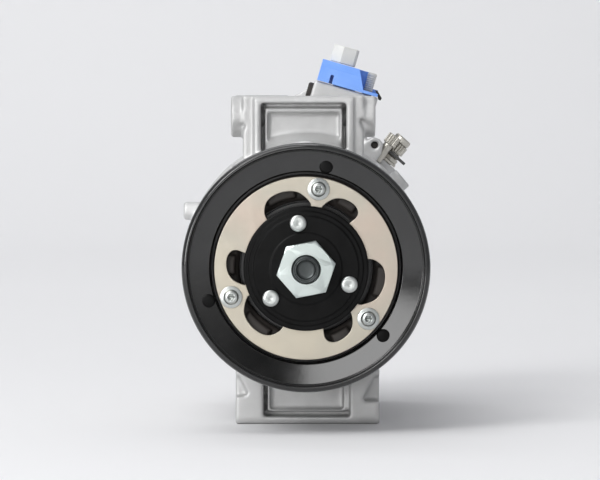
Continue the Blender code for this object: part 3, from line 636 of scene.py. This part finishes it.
def six_lobe(radius):
    """Outline of a six-lobed driver socket."""
    points = []
    steps = 60
    for k in range(steps):
        deg = 360.0 * k / steps
        points.append(polar(radius * (1 + 0.14 * math.cos(math.radians(6 * deg))), deg))
    return points


def fasteners():
    for k, deg in enumerate(SCREW_DEG):
        x, z = polar(SCREW_PITCH_R, deg)
        profile = [(0, 24), (2.2, 24), (2.2, 14.0), (4.9, 14.0), (4.9, 13.45), (3.9, 13.2), (3.35, 13.1),
                   (3.2, 12.2), (2.7, 11.5), (1.9, 11.15), (0, 11.1)]
        screw = lathe(f"limiter_screw_head_{k + 1}", profile, BRIGHT, 64, False, at=(x, 0, z), edge=0.15)
        socket = prism("socket", [[(x + a, z + b) for a, b in six_lobe(1.45)]], 10.5, 12.6)
        carve(screw, (), [socket])
        smooth(screw)
        settle(screw, "rotor", "bright_steel", f"limiter_screw_{k + 1}")
    for k, deg in enumerate(RIVET_DEG):
        x, z = polar(RIVET_PITCH_R, deg)
        profile = [(0, 17.4), (1.8, 17.4), (1.8, 10.45), (3.7, 10.45), (3.7, 9.9), (3.2, 9.45), (2.4, 9.25),
                   (1.0, 9.3), (0, 9.5)]
        rivet = lathe(f"hub_rivet_head_{k + 1}", profile, BRIGHT, 64, False, at=(x, 0, z), edge=0.25)
        settle(rivet, "rotor", "bright_steel", f"hub_rivet_{k + 1}")


def hub_nut():
    outline = circle(NUT_CORNER_R, 6, start=NUT_CORNER_DEG)
    nut = prism("hub_nut_hex", [outline, circle(THREAD_R + 0.4, 96)], NUT_FRONT, NUT_REAR, NUT, edge=0.12)
    middle = (NUT_FRONT + NUT_REAR) / 2
    cone = [(0, NUT_REAR + 1), (14.5, NUT_REAR + 1), (14.5, middle), (13.4, NUT_FRONT + 1.0),
            (11.2, NUT_FRONT - 0.15), (0, NUT_FRONT - 0.15)]
    trim = lathe("trim", cone, None, 128, False, edge=0.01)
    carve(nut, (), (), [trim])
    smooth(nut, 25)
    return settle(nut, "rotor", "bright_steel", "hub_nut")


def drive_shaft():
    """Shaft with a threaded front end and a shallow centre drilling in its face."""
    thread = []
    pitch = 1.25
    for k in range(9):
        start = 0.8 + k * pitch
        thread += [(THREAD_R, start + 0.1), (THREAD_R - 0.45, start + pitch / 2),
                   (THREAD_R, start + pitch - 0.1)]
    points = [(0, SHAFT_REAR), (SHAFT_R - 0.8, SHAFT_REAR), (SHAFT_R, SHAFT_REAR - 0.8), (SHAFT_R, 13.5),
              (THREAD_R, 13.5)] + thread[::-1]
    points += [(THREAD_R, 0.8), (THREAD_R - 0.6, 0.05), (5.15, 0.02), (5.0, 0.35), (4.75, 0.35), (4.55, 0.1),
               (4.3, 0.2), (3.9, 1.9), (3.2, 2.3), (0, 2.5)]
    piece = lathe("drive_shaft_body", points, SHAFT, 96, False, edge=0.1)
    return settle(piece, "rotor", "machined_steel", "drive_shaft")


# ---- casings

def lug_outline(y, upper):
    z = TOP_LUG_Z if upper else BASE_LUG_Z
    front = y - LUG_FRONT_DEPTH
    if upper:
        top = z + LUG_R
        corner = arc((front + 3, top - 3), 3, 180, 90, 6)
        return [(front, LUG_ROOT_Z)] + corner + arc((y, z), LUG_R, 90, 0, 12) + [(y + LUG_R, LUG_ROOT_Z)]
    corner = arc((front + 3, BASE_Z + 3), 3, 180, 270, 6)
    return [(front, -LUG_ROOT_Z)] + corner + [(y + LUG_R, BASE_Z), (y + LUG_R, -LUG_ROOT_Z)]


def tub(y, pocket, upper):
    """The shallow inner tray of a mount pocket: a floor with a low wall round it."""
    left, right, bottom, top = pocket
    near, far, wall = left + 1.8, right - 1.8, 1.2
    low, high = (bottom - 8, top - 2.2) if upper else (bottom + 2.3, top + 8)
    tray = block("tray", (near, y - 8.4, low), (far, y, high))
    if upper:
        hollow = block("hollow", (near + wall, y - 12, low - 1), (far - wall, y - 5.2, high - 2.2))
    else:
        hollow = block("hollow", (near + wall, y - 12, low + 0.9), (far - wall, y - 5.2, high + 1))
    return carve(tray, (), [hollow])


def facets(y, triangles):
    """Slanted pockets left by the casting tool at the outer sides of the lugs."""
    return [prism("facet", [outline], y - 20, y - 6.2) for outline in triangles]


def upper_lugs(y, web, boss, pocket=None):
    frame_body = prism("web", [lug_outline(y, True)], web[0], web[1], axis="X")
    joins = [rod("boss", (boss[0], y, TOP_LUG_Z), (1, 0, 0), boss[1] - boss[0], LUG_R - 0.1, steps=96)]
    cuts = [rod("bore", (boss[0] - 5, y, TOP_LUG_Z), (1, 0, 0), boss[1] - boss[0] + 10, LUG_BORE_R)]
    if pocket is None:
        return carve(frame_body, joins, cuts)
    left, right, bottom, top = pocket
    cuts.append(block("pocket", (left, y - 20, bottom - 10), (right, y - 1.0, top)))
    for low, high in ((boss[0] - 1, left - 3.2), (right + 3.2, boss[1] + 1)):
        cuts.append(block("shoulder", (low, y - 20, TOP_LUG_Z - 25), (high, y - 9.9, TOP_LUG_Z + 15)))
    cuts.append(rod("facet", (38.5, y - 14.0, 49.5), (-14, 5.5, 16), 23, 8.6, steps=64, top=0.2))
    cuts.append(rod("facet", (-40.5, y - 14.0, 51.0), (13, 5.5, 12.5), 20, 8.0, steps=64, top=0.2))
    carve(frame_body, joins, cuts)
    slope = [(50, 60), (55.0, 60), (55.6, y - 12), (59.4, y - 5.0), (59.4, y - 1), (50, y - 1)]
    apron = lathe("apron", slope, None, 96)
    carve(apron, (), (), [block("keep", (left + 2.4, 40, 30), (right - 2.4, 100, 90))])
    ledge = block("ledge", (left + 1.8, y - 5.6, top - 3.0), (right - 1.8, y, top + 1.0))
    return carve(frame_body, [tub(y, pocket, True), ledge, apron], ())


def base_lugs(y):
    low, high = BASE_WEB_X
    frame_body = prism("web", [lug_outline(y, False)], low, high, axis="X")
    left, right, bottom, top = BASE_POCKET
    cuts = [block("pocket", (left, y - 20, bottom), (right, y - 2.0, top + 12))]
    cuts.append(rod("bore", (low - 5, y, BASE_LUG_Z), (1, 0, 0), high - low + 10, LUG_BORE_R))
    cuts += facets(y, ([(31.3, -52.0), (25.6, -63.2), (37, -63.2), (37, -52.0)],
                       [(-30.4, -52.0), (-26.2, -60.5), (-36, -62.5), (-36, -52.0)]))
    for side, neck in ((1, 29.5), (-1, 28.5)):
        notch = [(40, -30), (40, -50.4), (neck + 1.5, -48.4), (neck, -45), (neck, -30)]
        cuts.append(prism("neck", [[(x * side, z) for x, z in notch]], y - 30, y + 30))
    carve(frame_body, (), cuts)
    return carve(frame_body, [tub(y, BASE_POCKET, False)], ())


def bolt_lobes(front, rear, reach):
    """Ridges over the through bolts, along the casing."""
    axis_r = BOLT_PITCH_R - 2.0
    return pitch_rods(axis_r, BOLT_DEG, front, rear, reach - axis_r, 64)


def front_housing():
    skin = BODY_R - 1.9
    points = [(NOSE_BORE_R, 25.6), (NOSE_R, 25.6), (NOSE_R, 26.8), (15.9, 26.8), (15.9, 28.4), (NOSE_R, 28.4),
              (NOSE_R, 45.3), (22, 45.3), (22, 48.5), (49, 50), (52.4, 52.4), (skin, 57),
              (skin, FRONT_REAR_Y - 8), (BODY_R - 0.3, FRONT_REAR_Y - 6), (BODY_R - 0.3, FRONT_REAR_Y),
              (CRANKCASE_R, FRONT_REAR_Y),
              (CRANKCASE_R, FRONT_WALL_Y), (NOSE_BORE_R, FRONT_WALL_Y)]
    shell = lathe("front_housing_casting", points, CAST, 128, edge=0.4)
    joins = [upper_lugs(LUG_Y, TOP_WEB_X, TOP_BOSS_X, TOP_POCKET), base_lugs(LUG_Y)]
    joins += bolt_lobes(57, FRONT_REAR_Y - 1, BODY_R - 0.2)
    cuts = pitch_rods(BOLT_PITCH_R, BOLT_DEG, 68, 130, BOLT_WAY_R, 32)
    joins.append(rod("stub", (-40, 99, 22.4), (-1, 0, 0), 16.6, 4.2))
    x, z = polar(50, 40)
    joins.append(rod("pad", (x, 99, z), (x, 0, z), 8.8, 5.0))
    joins.append(block("waist_rib", (-BODY_R + 0.4, 60, -1.0), (BODY_R - 0.4, 64, 1.0)))
    for deg in (20, 52, 128, 160, 200, 236, 304, 340):
        far = (BODY_R - 0.5, FRONT_REAR_Y - 3, 0.9)
        joins.append(block("rib", (50, 56, -0.9), far, turn=about_shaft(deg)))
    for deg in range(0, 360, 30):
        joins.append(block("spoke", (33, 47.8, -1.0), (50, 52, 1.0), turn=about_shaft(deg)))
    carve(shell, joins, cuts)
    depth = FRONT_REAR_Y - FRONT_WALL_Y + 1
    carve(shell, (), [rod("crankcase", (0, FRONT_WALL_Y, 0), (0, 1, 0), depth, CRANKCASE_R, steps=128)])
    fillet_casting(shell)
    return settle(shell, "housing", "cast_aluminium", "front_housing")


def cylinder_block():
    outline = []
    steps = 240
    for k in range(steps):
        deg = 360.0 * k / steps
        near = min(abs((deg - b + 180) % 360 - 180) for b in BOLT_DEG)
        swell = 0.5 + 0.5 * math.cos(math.radians(min(near / 12.0, 1.0) * 180))
        outline.append(polar(BODY_R - 1.6 + 1.3 * swell, deg))
    bores = [circle(PISTON_BORE_R, 64, polar(PISTON_PITCH_R, deg)) for deg in PISTON_DEG]
    ways = [circle(BOLT_WAY_R, 24, polar(BOLT_PITCH_R, deg)) for deg in BOLT_DEG]
    casting = prism("cylinder_block_casting", [outline, circle(NOSE_BORE_R, 64)] + bores + ways,
                    BLOCK_FRONT, BLOCK_REAR, CAST, edge=0.5)
    settle(casting, "housing", "cast_aluminium", "cylinder_block")
    rim_r = BODY_R - 0.25
    for k, y in enumerate((BLOCK_FRONT + 3.2, BLOCK_REAR - 3.2)):
        profile = [(54.0, y - 2.6), (rim_r, y - 2.6), (rim_r, y + 2.6), (54.0, y + 2.6)]
        settle(lathe(f"block_flange_{k + 1}", profile, CAST, edge=0.7), "housing", "cast_aluminium")


def plates():
    """Gaskets, reed plates and valve plate, with their bolt and port holes."""
    ways = [circle(3.5, 24, polar(BOLT_PITCH_R, deg)) for deg in BOLT_DEG]
    inlets = [circle(4.0, 24, polar(34, deg)) for deg in PISTON_DEG]
    outlets = [circle(2.6, 24, polar(18, deg)) for deg in PISTON_DEG]
    inner = [circle(CRANKCASE_R + 1, 128)]
    stack = (("front_gasket", inner, SEAL, "gasket_coat"),
             ("suction_reed_plate", outlets, STEEL, "machined_steel"),
             ("valve_plate", inlets + outlets, STEEL, "machined_steel"),
             ("discharge_reed_plate", inlets, STEEL, "machined_steel"),
             ("rear_gasket", inner, SEAL, "gasket_coat"))
    for node, holes, material, slot in stack:
        low, high = span(node, 1)
        outlines = [circle(BODY_R - 0.45, 192)] + ways + holes
        piece = prism(node + "_disc", outlines, low, high, material, edge=0.08)
        settle(piece, "housing", slot, node)


def rear_pockets():
    """Shallow sectors of the rear face, left out beside the control valve."""
    pockets = []
    for k, deg in enumerate(BOLT_DEG):
        for low, high in ((3, 34), (38, 69)):
            if (k, low) not in ((1, 38), (2, 3)):
                outline = arc((0, 0), 40.0, deg + low, deg + high, 14)
                outline += arc((0, 0), 15.0, deg + high, deg + low, 10)
                pockets.append(prism("rear_pocket", [outline], REAR_REAR - 2.4, REAR_REAR + 3))
    return pockets


def rear_housing():
    skin = REAR_R - 1.2
    points = [(0, REAR_REAR), (46, REAR_REAR), (49.6, REAR_REAR - 1.6), (skin - 0.4, 197),
              (skin, REAR_FRONT + 8), (REAR_R, REAR_FRONT + 6), (REAR_R, REAR_FRONT),
              (CRANKCASE_R, REAR_FRONT), (CRANKCASE_R, 176), (26, 176),
              (26, REAR_FRONT), (22, REAR_FRONT), (22, 183), (0, 183)]
    body = lathe("rear_housing_casting", points, CAST, 128, False, edge=0.6)
    joins = [port_box("port_block", PORT_U, PORT_Y, (46, PORT_TOP))]
    y = LUG_Y + LUG_SPACING
    joins += [upper_lugs(y, (TOP_WEB_X[0], -9), (TOP_BOSS_X[0], -8)), base_lugs(y)]
    joins += bolt_lobes(REAR_FRONT + 1, REAR_REAR - 5, REAR_R - 0.2)
    gusset = [(-9, 50), (-9, 73.5), (-2.0, 77.4), (1.6, 79.4), (4, 60)]
    joins.append(prism("gusset", [gusset], 168, 171.5))
    x, z = polar(46, RELIEF_DEG)
    joins.append(rod("relief_boss", (x, RELIEF_Y, z), (x, 0, z), RELIEF_SEAT - 46.3, 7.2))
    ear = ((51, 52.5), (60, 52.6), (64.5, 54.6), (65.3, 57), (64.5, 60), (60, 62), (51, 63))
    joins.append(prism("ear", [[polar(radius, deg) for radius, deg in ear]], *EAR_Y))
    start_x, start_z = polar(38, RELIEF_DEG)
    cuts = [rod("relief_way", (start_x, RELIEF_Y, start_z), (x, 0, z), 40, 3.8)]
    cuts += pitch_rods(EAR_HOLE_R, (EAR_HOLE_DEG,), 150, 165, 1.8)
    cuts.append(rod("suction", port_point(PORT_CENTRE_U, SUCTION_Y, 36), PORT_OUT, 60, PORT_R))
    cuts.append(rod("discharge", port_point(PORT_CENTRE_U, DISCHARGE_Y, 14), PORT_OUT, 80, PORT_R))
    cuts.append(rod("stud", port_point(STUD_U, STUD_Y, PORT_TOP - 17.5), PORT_OUT, 30, STUD_R + 0.3))
    cuts.append(rod("control", (-60, CONTROL_Y, CONTROL_Z), (1, 0, 0), 78, CONTROL_R + 0.3))
    cuts.append(rod("control_seat", (-60, CONTROL_Y, CONTROL_Z), (1, 0, 0), 18, CONTROL_R + 2.3))
    cuts += pitch_rods(BOLT_PITCH_R, BOLT_DEG, 150, 215, BOLT_WAY_R, 32)
    cuts += pitch_rods(BOLT_PITCH_R, BOLT_DEG, BOLT_HEAD_Y - 0.3, 220, 6.6, 32)
    cuts += rear_pockets()
    carve(body, joins, cuts)
    fillet_casting(body)
    return settle(body, "housing", "cast_aluminium", "rear_housing")


def through_bolts():
    head = BOLT_HEAD_Y
    profile = [(0, head + 5.9), (4.9, head + 5.9), (5.6, head + 5.2), (5.6, head), (3, head), (3, 71),
               (2, 70), (0, 70)]
    for k, deg in enumerate(BOLT_DEG):
        x, z = polar(BOLT_PITCH_R, deg)
        bolt = lathe(f"casing_bolt_{k + 1}", profile, DARK, 64, False, at=(x, 0, z), edge=0.2)
        hexagon = [(x + a, z + b) for a, b in circle(2.9, 6)]
        carve(bolt, (), [prism("socket", [hexagon], head + 2.6, head + 8)])
        smooth(bolt)
        settle(bolt, "housing", "dark_steel", f"through_bolt_{k + 1}")


# ---- fittings and cap

def toothed(outer, inner, teeth):
    points = []
    for k in range(teeth):
        for share, radius in ((0.0, inner), (0.28, outer), (0.72, outer)):
            points.append(polar(radius, 360.0 * (k + share) / teeth))
    return points


def ring_piece(name, outlines, reach, material, edge, place=(RELIEF_DEG, RELIEF_Y)):
    """A washer-like piece between two distances out from the shaft."""
    piece = prism(name, outlines, *reach, material, axis="X", edge=edge, turn=about_shaft(*place))
    return settle(piece, "housing", "dark_steel" if material is DARK else "olive_fitting")


def relief_valve():
    x, z = polar(1.0, RELIEF_DEG)
    out = (x, 0, z)
    seat, end = RELIEF_SEAT, RELIEF_END
    points = [(2.2, 44), (3.5, 44), (3.5, seat), (5.7, seat), (5.7, seat + 1.2), (4.0, seat + 1.5),
              (4.0, seat + 3.4), (RELIEF_R, seat + 3.8), (RELIEF_R, seat + 5.4), (3.7, seat + 5.8),
              (3.7, end - 3.2), (4.3, end - 3.0), (4.3, end - 0.6), (3.8, end), (2.4, end), (2.1, end - 0.8),
              (0.9, end - 0.8), (0.9, 67.5), (2.2, 67.5)]
    body = lathe("relief_valve_fitting", points, OLIVE, 64, at=(0, RELIEF_Y, 0), along=out, edge=0.15)
    settle(body, "housing", "olive_fitting", "relief_valve_body")
    ring_piece("relief_valve_knurl", [toothed(RELIEF_R + 0.25, RELIEF_R - 0.3, 22), circle(3.75, 64)],
               (seat + 6.2, end - 3.4), OLIVE, 0.25)
    half = [(5.5, -8.3), (5.5, -3.5), (5.2, 3.4), (4.2, 5.4)]
    mouth = [(-3.8, -8.3), (-3.9, -4.8), (3.9, -4.8), (3.8, -8.3)]
    strap = half + [(0, 6.1)] + [(-a, b) for a, b in half[::-1]] + mouth
    ring_piece("relief_valve_clip", [strap, circle(RELIEF_R + 0.15, 64)], (seat + 3.9, seat + 5.3), DARK, 0.2)
    hexagon = circle(5.3, 6, start=15.0)
    ring_piece("relief_valve_hex", [hexagon, circle(4.05, 64)], (seat + 1.35, seat + 3.3), OLIVE, 0.2)
    place = (SERVICE_CAP_DEG, SERVICE_CAP_Y)
    ring_piece("service_cap_knurl", [toothed(3.2, 2.75, 16)], (65.7, 71.0), OLIVE, 0.4, place)
    ring_piece("service_cap_neck", [circle(2.3, 48)], (56.0, 65.9), OLIVE, 0.2, place)
    # A dark rubber plug set back in the ear hole: painted shade, so the hole reads dark instead of showing
    # the backdrop through it.
    x, z = polar(EAR_HOLE_R, EAR_HOLE_DEG)
    profile = [(0, 159.0), (1.3, 159.0), (1.75, 159.4), (1.75, 161.8), (0, 161.8)]
    stop = lathe("ear_hole_shade_plug", profile, RUBBER, 48, False, at=(x, 0, z), edge=0.1)
    settle(stop, "housing", "damper_rubber")


def control_valve():
    points = [(0, 9), (4.3, 9), (4.3, 58), (CONTROL_R - 0.6, 58), (CONTROL_R, 57.4), (CONTROL_R, 5.1),
              (CONTROL_R + 1.8, 5.1), (CONTROL_R + 1.8, 1.0), (CONTROL_R + 1.0, 0.2), (7.2, 0.2), (7.0, 1.8),
              (3.2, 1.8), (3.0, 0.4), (0, 0.4)]
    body = lathe("control_valve_fitting", points, OLIVE, 96, False, at=(CONTROL_X, CONTROL_Y, CONTROL_Z),
                 along=(1, 0, 0), edge=0.2)
    return settle(body, "housing", "olive_fitting", "control_valve_body")


def port_cap():
    base = PORT_TOP + 0.3
    top = base + CAP_HEIGHT
    front, rear = CAP_Y
    left, right = CAP_U
    cap = port_box("port_cap_moulding", CAP_U, CAP_Y, (base, top), BLUE)
    joins = [rod("spigot", port_point(PORT_CENTRE_U, y, base - 7), PORT_OUT, 9, PORT_R - 0.6)
             for y in (SUCTION_Y, DISCHARGE_Y)]
    notch = [(-1.2, top + 4), (5.0, base + 1.4), (right + 5, base + 1.4), (right + 5, top + 4)]
    rim = Matrix.Translation((0, front - 0.6, top + 0.6)) @ Matrix.Rotation(math.radians(45), 4, "X")
    cuts = [prism("notch", [notch], front - 5, STUD_Y + 4, turn=PORT_TURN),
            port_box("rear_step", (6.4, right + 5), (STUD_Y + 1, rear + 5), (base + 3.2, top + 5)),
            rod("stud_way", port_point(STUD_U, STUD_Y, base - 3), PORT_OUT, 20, STUD_R + 0.5),
            port_box("slit", (-11.9, -10.3), (front - 3, front + 6), (base - 3, base + 4.2)),
            port_box("skirt_gap", (left - 3, left + 1.0), (front + 9, front + 12), (base - 2, base + 5)),
            port_box("skirt_gap", (left - 3, left + 1.0), (rear - 12, rear - 9), (base - 2, base + 5)),
            port_box("rear_gap", (-9, 3), (rear - 1.2, rear + 3), (base - 2, base + 5)),
            block("chamfer", (left - 5, -3.2, -3.2), (right + 5, 3.2, 3.2), turn=PORT_TURN @ rim)]
    carve(cap, joins, cuts)
    bevel(cap, 0.9, 3)
    settle(cap, "transport_cap", "cap_blue", "port_cap")
    reach = (front + 0.1, front + 1.6)
    tongue = port_box("port_cap_tongue", (-9.9, -9.0), reach, (base + 0.4, base + 4.4), BLUE)
    bevel(tongue, 0.25, 2)
    start = port_point(PLUG_U, SUCTION_Y, top + 0.3)
    plug = prism("port_plug_hex", [circle(PLUG_R, 6, (0, 0), start=72.0)], 0, 8.3, PALE, edge=0.5)
    up = Matrix.Translation(start * MM) @ PORT_OUT.to_track_quat("Y", "Z").to_matrix().to_4x4()
    plug.data.transform(up)
    settle(plug, "transport_cap", "plug_grey", "port_cap_plug")
    settle(tongue, "transport_cap", "cap_blue")
    hook = [(10.4, base + 2.9), (11.8, base + 2.9), (14.7, base + 0.1), (14.4, base - 1.2),
            (13.3, base - 1.0), (12.2, base + 1.0)]
    latch = prism("port_cap_latch", [hook], 158.5, 163.0, RUBBER, edge=0.25, turn=PORT_TURN)
    settle(latch, "transport_cap", "damper_rubber")
    points = [(0, 0), (STUD_R, 0.0), (STUD_R, 18)]
    for k in range(8):
        start_d = 18 + k
        points += [(STUD_R, start_d + 0.1), (STUD_R - 0.3, start_d + 0.5), (STUD_R, start_d + 0.9)]
    points += [(STUD_R, 26.6), (STUD_R - 0.6, 27.4), (0, 27.4)]
    stud = lathe("port_stud_thread", points, PALE, 48, False, at=port_point(STUD_U, STUD_Y, PORT_TOP - 16.5),
                 along=PORT_OUT, edge=0.08)
    settle(stud, "housing", "plug_grey", "port_cap_stud")
    # A dark rubber plug on the left flank of the port block: painted shade for the dark gap between the port
    # block and the casing.
    profile = [(0, 0), (5.0, 0), (5.0, 2.6), (4.4, 3.3), (2.6, 3.3), (2.6, 1.4), (0, 1.4)]
    side = lathe("port_side_shade_plug", profile, RUBBER, 64, False, at=port_point(PORT_U[0] + 0.9, 172, 74.6),
                 along=port_point(-1, 0, 0), edge=0.2)
    settle(side, "housing", "damper_rubber")


# ---- CAD nodes that stay

INNER = {
    "bearing_outer_ring": STEEL, "bearing_inner_ring": STEEL, "bearing_ball_cage": CAGE,
    "bearing_snap_ring": DARK, "shaft_seal": RUBBER, "front_shaft_bearing": STEEL,
    "rear_shaft_bearing": STEEL, "lug_plate": DARK, "thrust_bearing_cage": CAGE, "swash_plate": STEEL,
    "hinge_pin": BRIGHT, "return_spring": STEEL, "control_valve_spool": BRIGHT,
    "relief_valve_poppet": BRIGHT,
}
for number in range(1, 6):
    INNER[f"piston_{number}"] = CAST
    INNER[f"shoe_front_{number}"] = BRIGHT
    INNER[f"shoe_rear_{number}"] = BRIGHT


def carry_over():
    for name, material in INNER.items():
        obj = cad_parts[name]
        obj.data.materials.clear()
        obj.data.materials.append(material)


# ---- studio

def studio():
    """Pale seamless floor and backdrop, four soft lights and a graded glowing card that paints reflections on
    polished surfaces.
    """
    floor_z = BASE_Z * MM
    bm = bmesh.new()
    half, reach, radius = 3.0, 2.6, 0.9
    path = [(-4.0, 0.0), (reach - radius, 0.0)]
    for k in range(1, 17):
        angle = math.pi / 2 * k / 16
        path.append((reach - radius + radius * math.sin(angle), radius - radius * math.cos(angle)))
    path.append((reach, 3.2))
    rows = [[bm.verts.new((x, y, z + floor_z)) for x in (-half, half)] for y, z in path]
    for a, b in zip(rows, rows[1:]):
        bm.faces.new((a[0], a[1], b[1], b[0]))
    mesh = finished_mesh("studio_sweep", bm)
    n = Nodes("studio_paper")
    colour = n.ramp(n.noise(0.8, 2.0, 0.5), ((0.3, (0.8, 0.8, 0.805)), (0.7, (0.82, 0.82, 0.825))))
    paper = n.finish(colour, n.between(n.noise(3.0), 0.85, 0.9), n.bump(n.noise(300.0), 0.0001, 0.1))
    sweep = smooth(new_piece("studio_sweep", mesh, paper))
    world = bpy.data.worlds.new("studio_world")
    bpy.context.scene.world = world
    world.use_nodes = True
    background = world.node_tree.nodes["Background"]
    background.inputs["Color"].default_value = (0.95, 0.96, 1.0, 1.0)
    background.inputs["Strength"].default_value = 0.47
    soft_light("key_softbox", (-1.05, -1.25, 1.15), (-0.1, 0.0, 0), (0.8, 0.8), 19.0)
    soft_light("top_softbox", (-0.7, -0.5, 1.9), (0, 0.1, 0), (1.4, 1.2), 12.0)
    soft_light("low_fill", (-0.9, -1.5, 0.12), (0.1, 0.0, -0.05), (0.7, 0.35), 7.5)
    soft_light("backdrop_light", (-0.6, 1.2, 1.9), (0, 2.6, 0.4), (1.8, 0.8), 14.0)
    reflector()


# Glow levels of the painted reflection on the card.
BLACK, DIM, MID, OUTSIDE, LIGHT = 0.0, 0.08, 0.24, 0.16, 1.0


def reflector():
    """A graded card beside the camera that glows and that only polished surfaces see: a painted reflection,
    graded round its centre, for the dished pulley ring and the bright metal.
    """
    bm = bmesh.new()
    bmesh.ops.create_circle(bm, cap_ends=True, segments=96, radius=1.1)
    mesh = finished_mesh("painted_reflection_card", bm)
    n = Nodes("painted_reflection_glow")
    split = n.add("ShaderNodeSeparateXYZ")
    n.link(n.place, split.inputs[0])
    angle = n.add("ShaderNodeMath", operation="ARCTAN2")
    n.link(split.outputs["Y"], angle.inputs[0])
    n.link(split.outputs["X"], angle.inputs[1])
    share = n.between(angle.outputs[0], 0.0, 1.0, -math.pi, math.pi)
    # Painted reflection: the glow steps with the angle round the card's centre and dims outside its middle.
    stops = [(-180, BLACK), (-155, BLACK), (-135, MID), (-15, MID), (18, DIM), (60, BLACK), (86, BLACK),
             (90, LIGHT), (165, LIGHT), (171, BLACK), (180, BLACK)]
    ring = n.ramp(share, [((deg + 180) / 360, (v, v, v)) for deg, v in stops])
    reach = n.add("ShaderNodeVectorMath", operation="LENGTH")
    n.link(n.place, reach.inputs[0])
    far = n.between(reach.outputs["Value"], 0.0, 1.0, 0.34, 0.42)
    n.link(n.blend(far, ring, (OUTSIDE,) * 3), n.shader.inputs["Emission Color"])
    n.shader.inputs["Emission Strength"].default_value = 5.0
    dark = n.ramp(n.noise(3.0), ((0.3, (0.01, 0.01, 0.01)), (0.7, (0.012, 0.012, 0.012))))
    n.finish(dark, n.between(n.noise(4.0), 0.8, 0.9), n.bump(n.noise(200.0), 0.0001, 0.1))
    card = new_piece("painted_reflection_card", mesh, n.material)
    card.location = (0, -1.7, -0.075)
    card.rotation_euler = (math.radians(90), 0, 0)
    card.visible_camera = False
    card.visible_diffuse = False
    card.visible_transmission = False
    card.visible_shadow = False


def soft_light(name, place, target, size, power):
    light = bpy.data.lights.new(name, "AREA")
    light.shape = "RECTANGLE"
    light.size, light.size_y = size
    light.energy = power
    obj = bpy.data.objects.new(name, light)
    obj.location = place
    obj.rotation_euler = (Vector(target) - Vector(place)).to_track_quat("-Z", "Y").to_euler()
    obj.visible_camera = False
    bpy.context.scene.collection.objects.link(obj)


def camera():
    """Straight on to the pulley from 1.6 m, slightly above the shaft."""
    distance, rise = 1.6, math.radians(2.5)
    width = 0.2651
    aim = Vector((-0.00265, 0.017, 0.0124))
    place = aim + Vector((0, -distance * math.cos(rise), distance * math.sin(rise)))
    data = bpy.data.cameras.new("front_camera")
    data.sensor_width = 36.0
    data.lens = 36.0 * distance / width
    data.clip_end = 20.0
    obj = bpy.data.objects.new("front_camera", data)
    obj.location = place
    obj.rotation_euler = (aim - place).to_track_quat("-Z", "Y").to_euler()
    bpy.context.scene.collection.objects.link(obj)
    bpy.context.scene.camera = obj


camera()
studio()
carry_over()
pulley()
limiter_plate()
dampers()
dark_ring_pads()
drive_hub()
fasteners()
hub_nut()
drive_shaft()
front_housing()
cylinder_block()
plates()
rear_housing()
through_bolts()
relief_valve()
control_valve()
port_cap()
bpy.context.scene.view_settings.view_transform = "Standard"
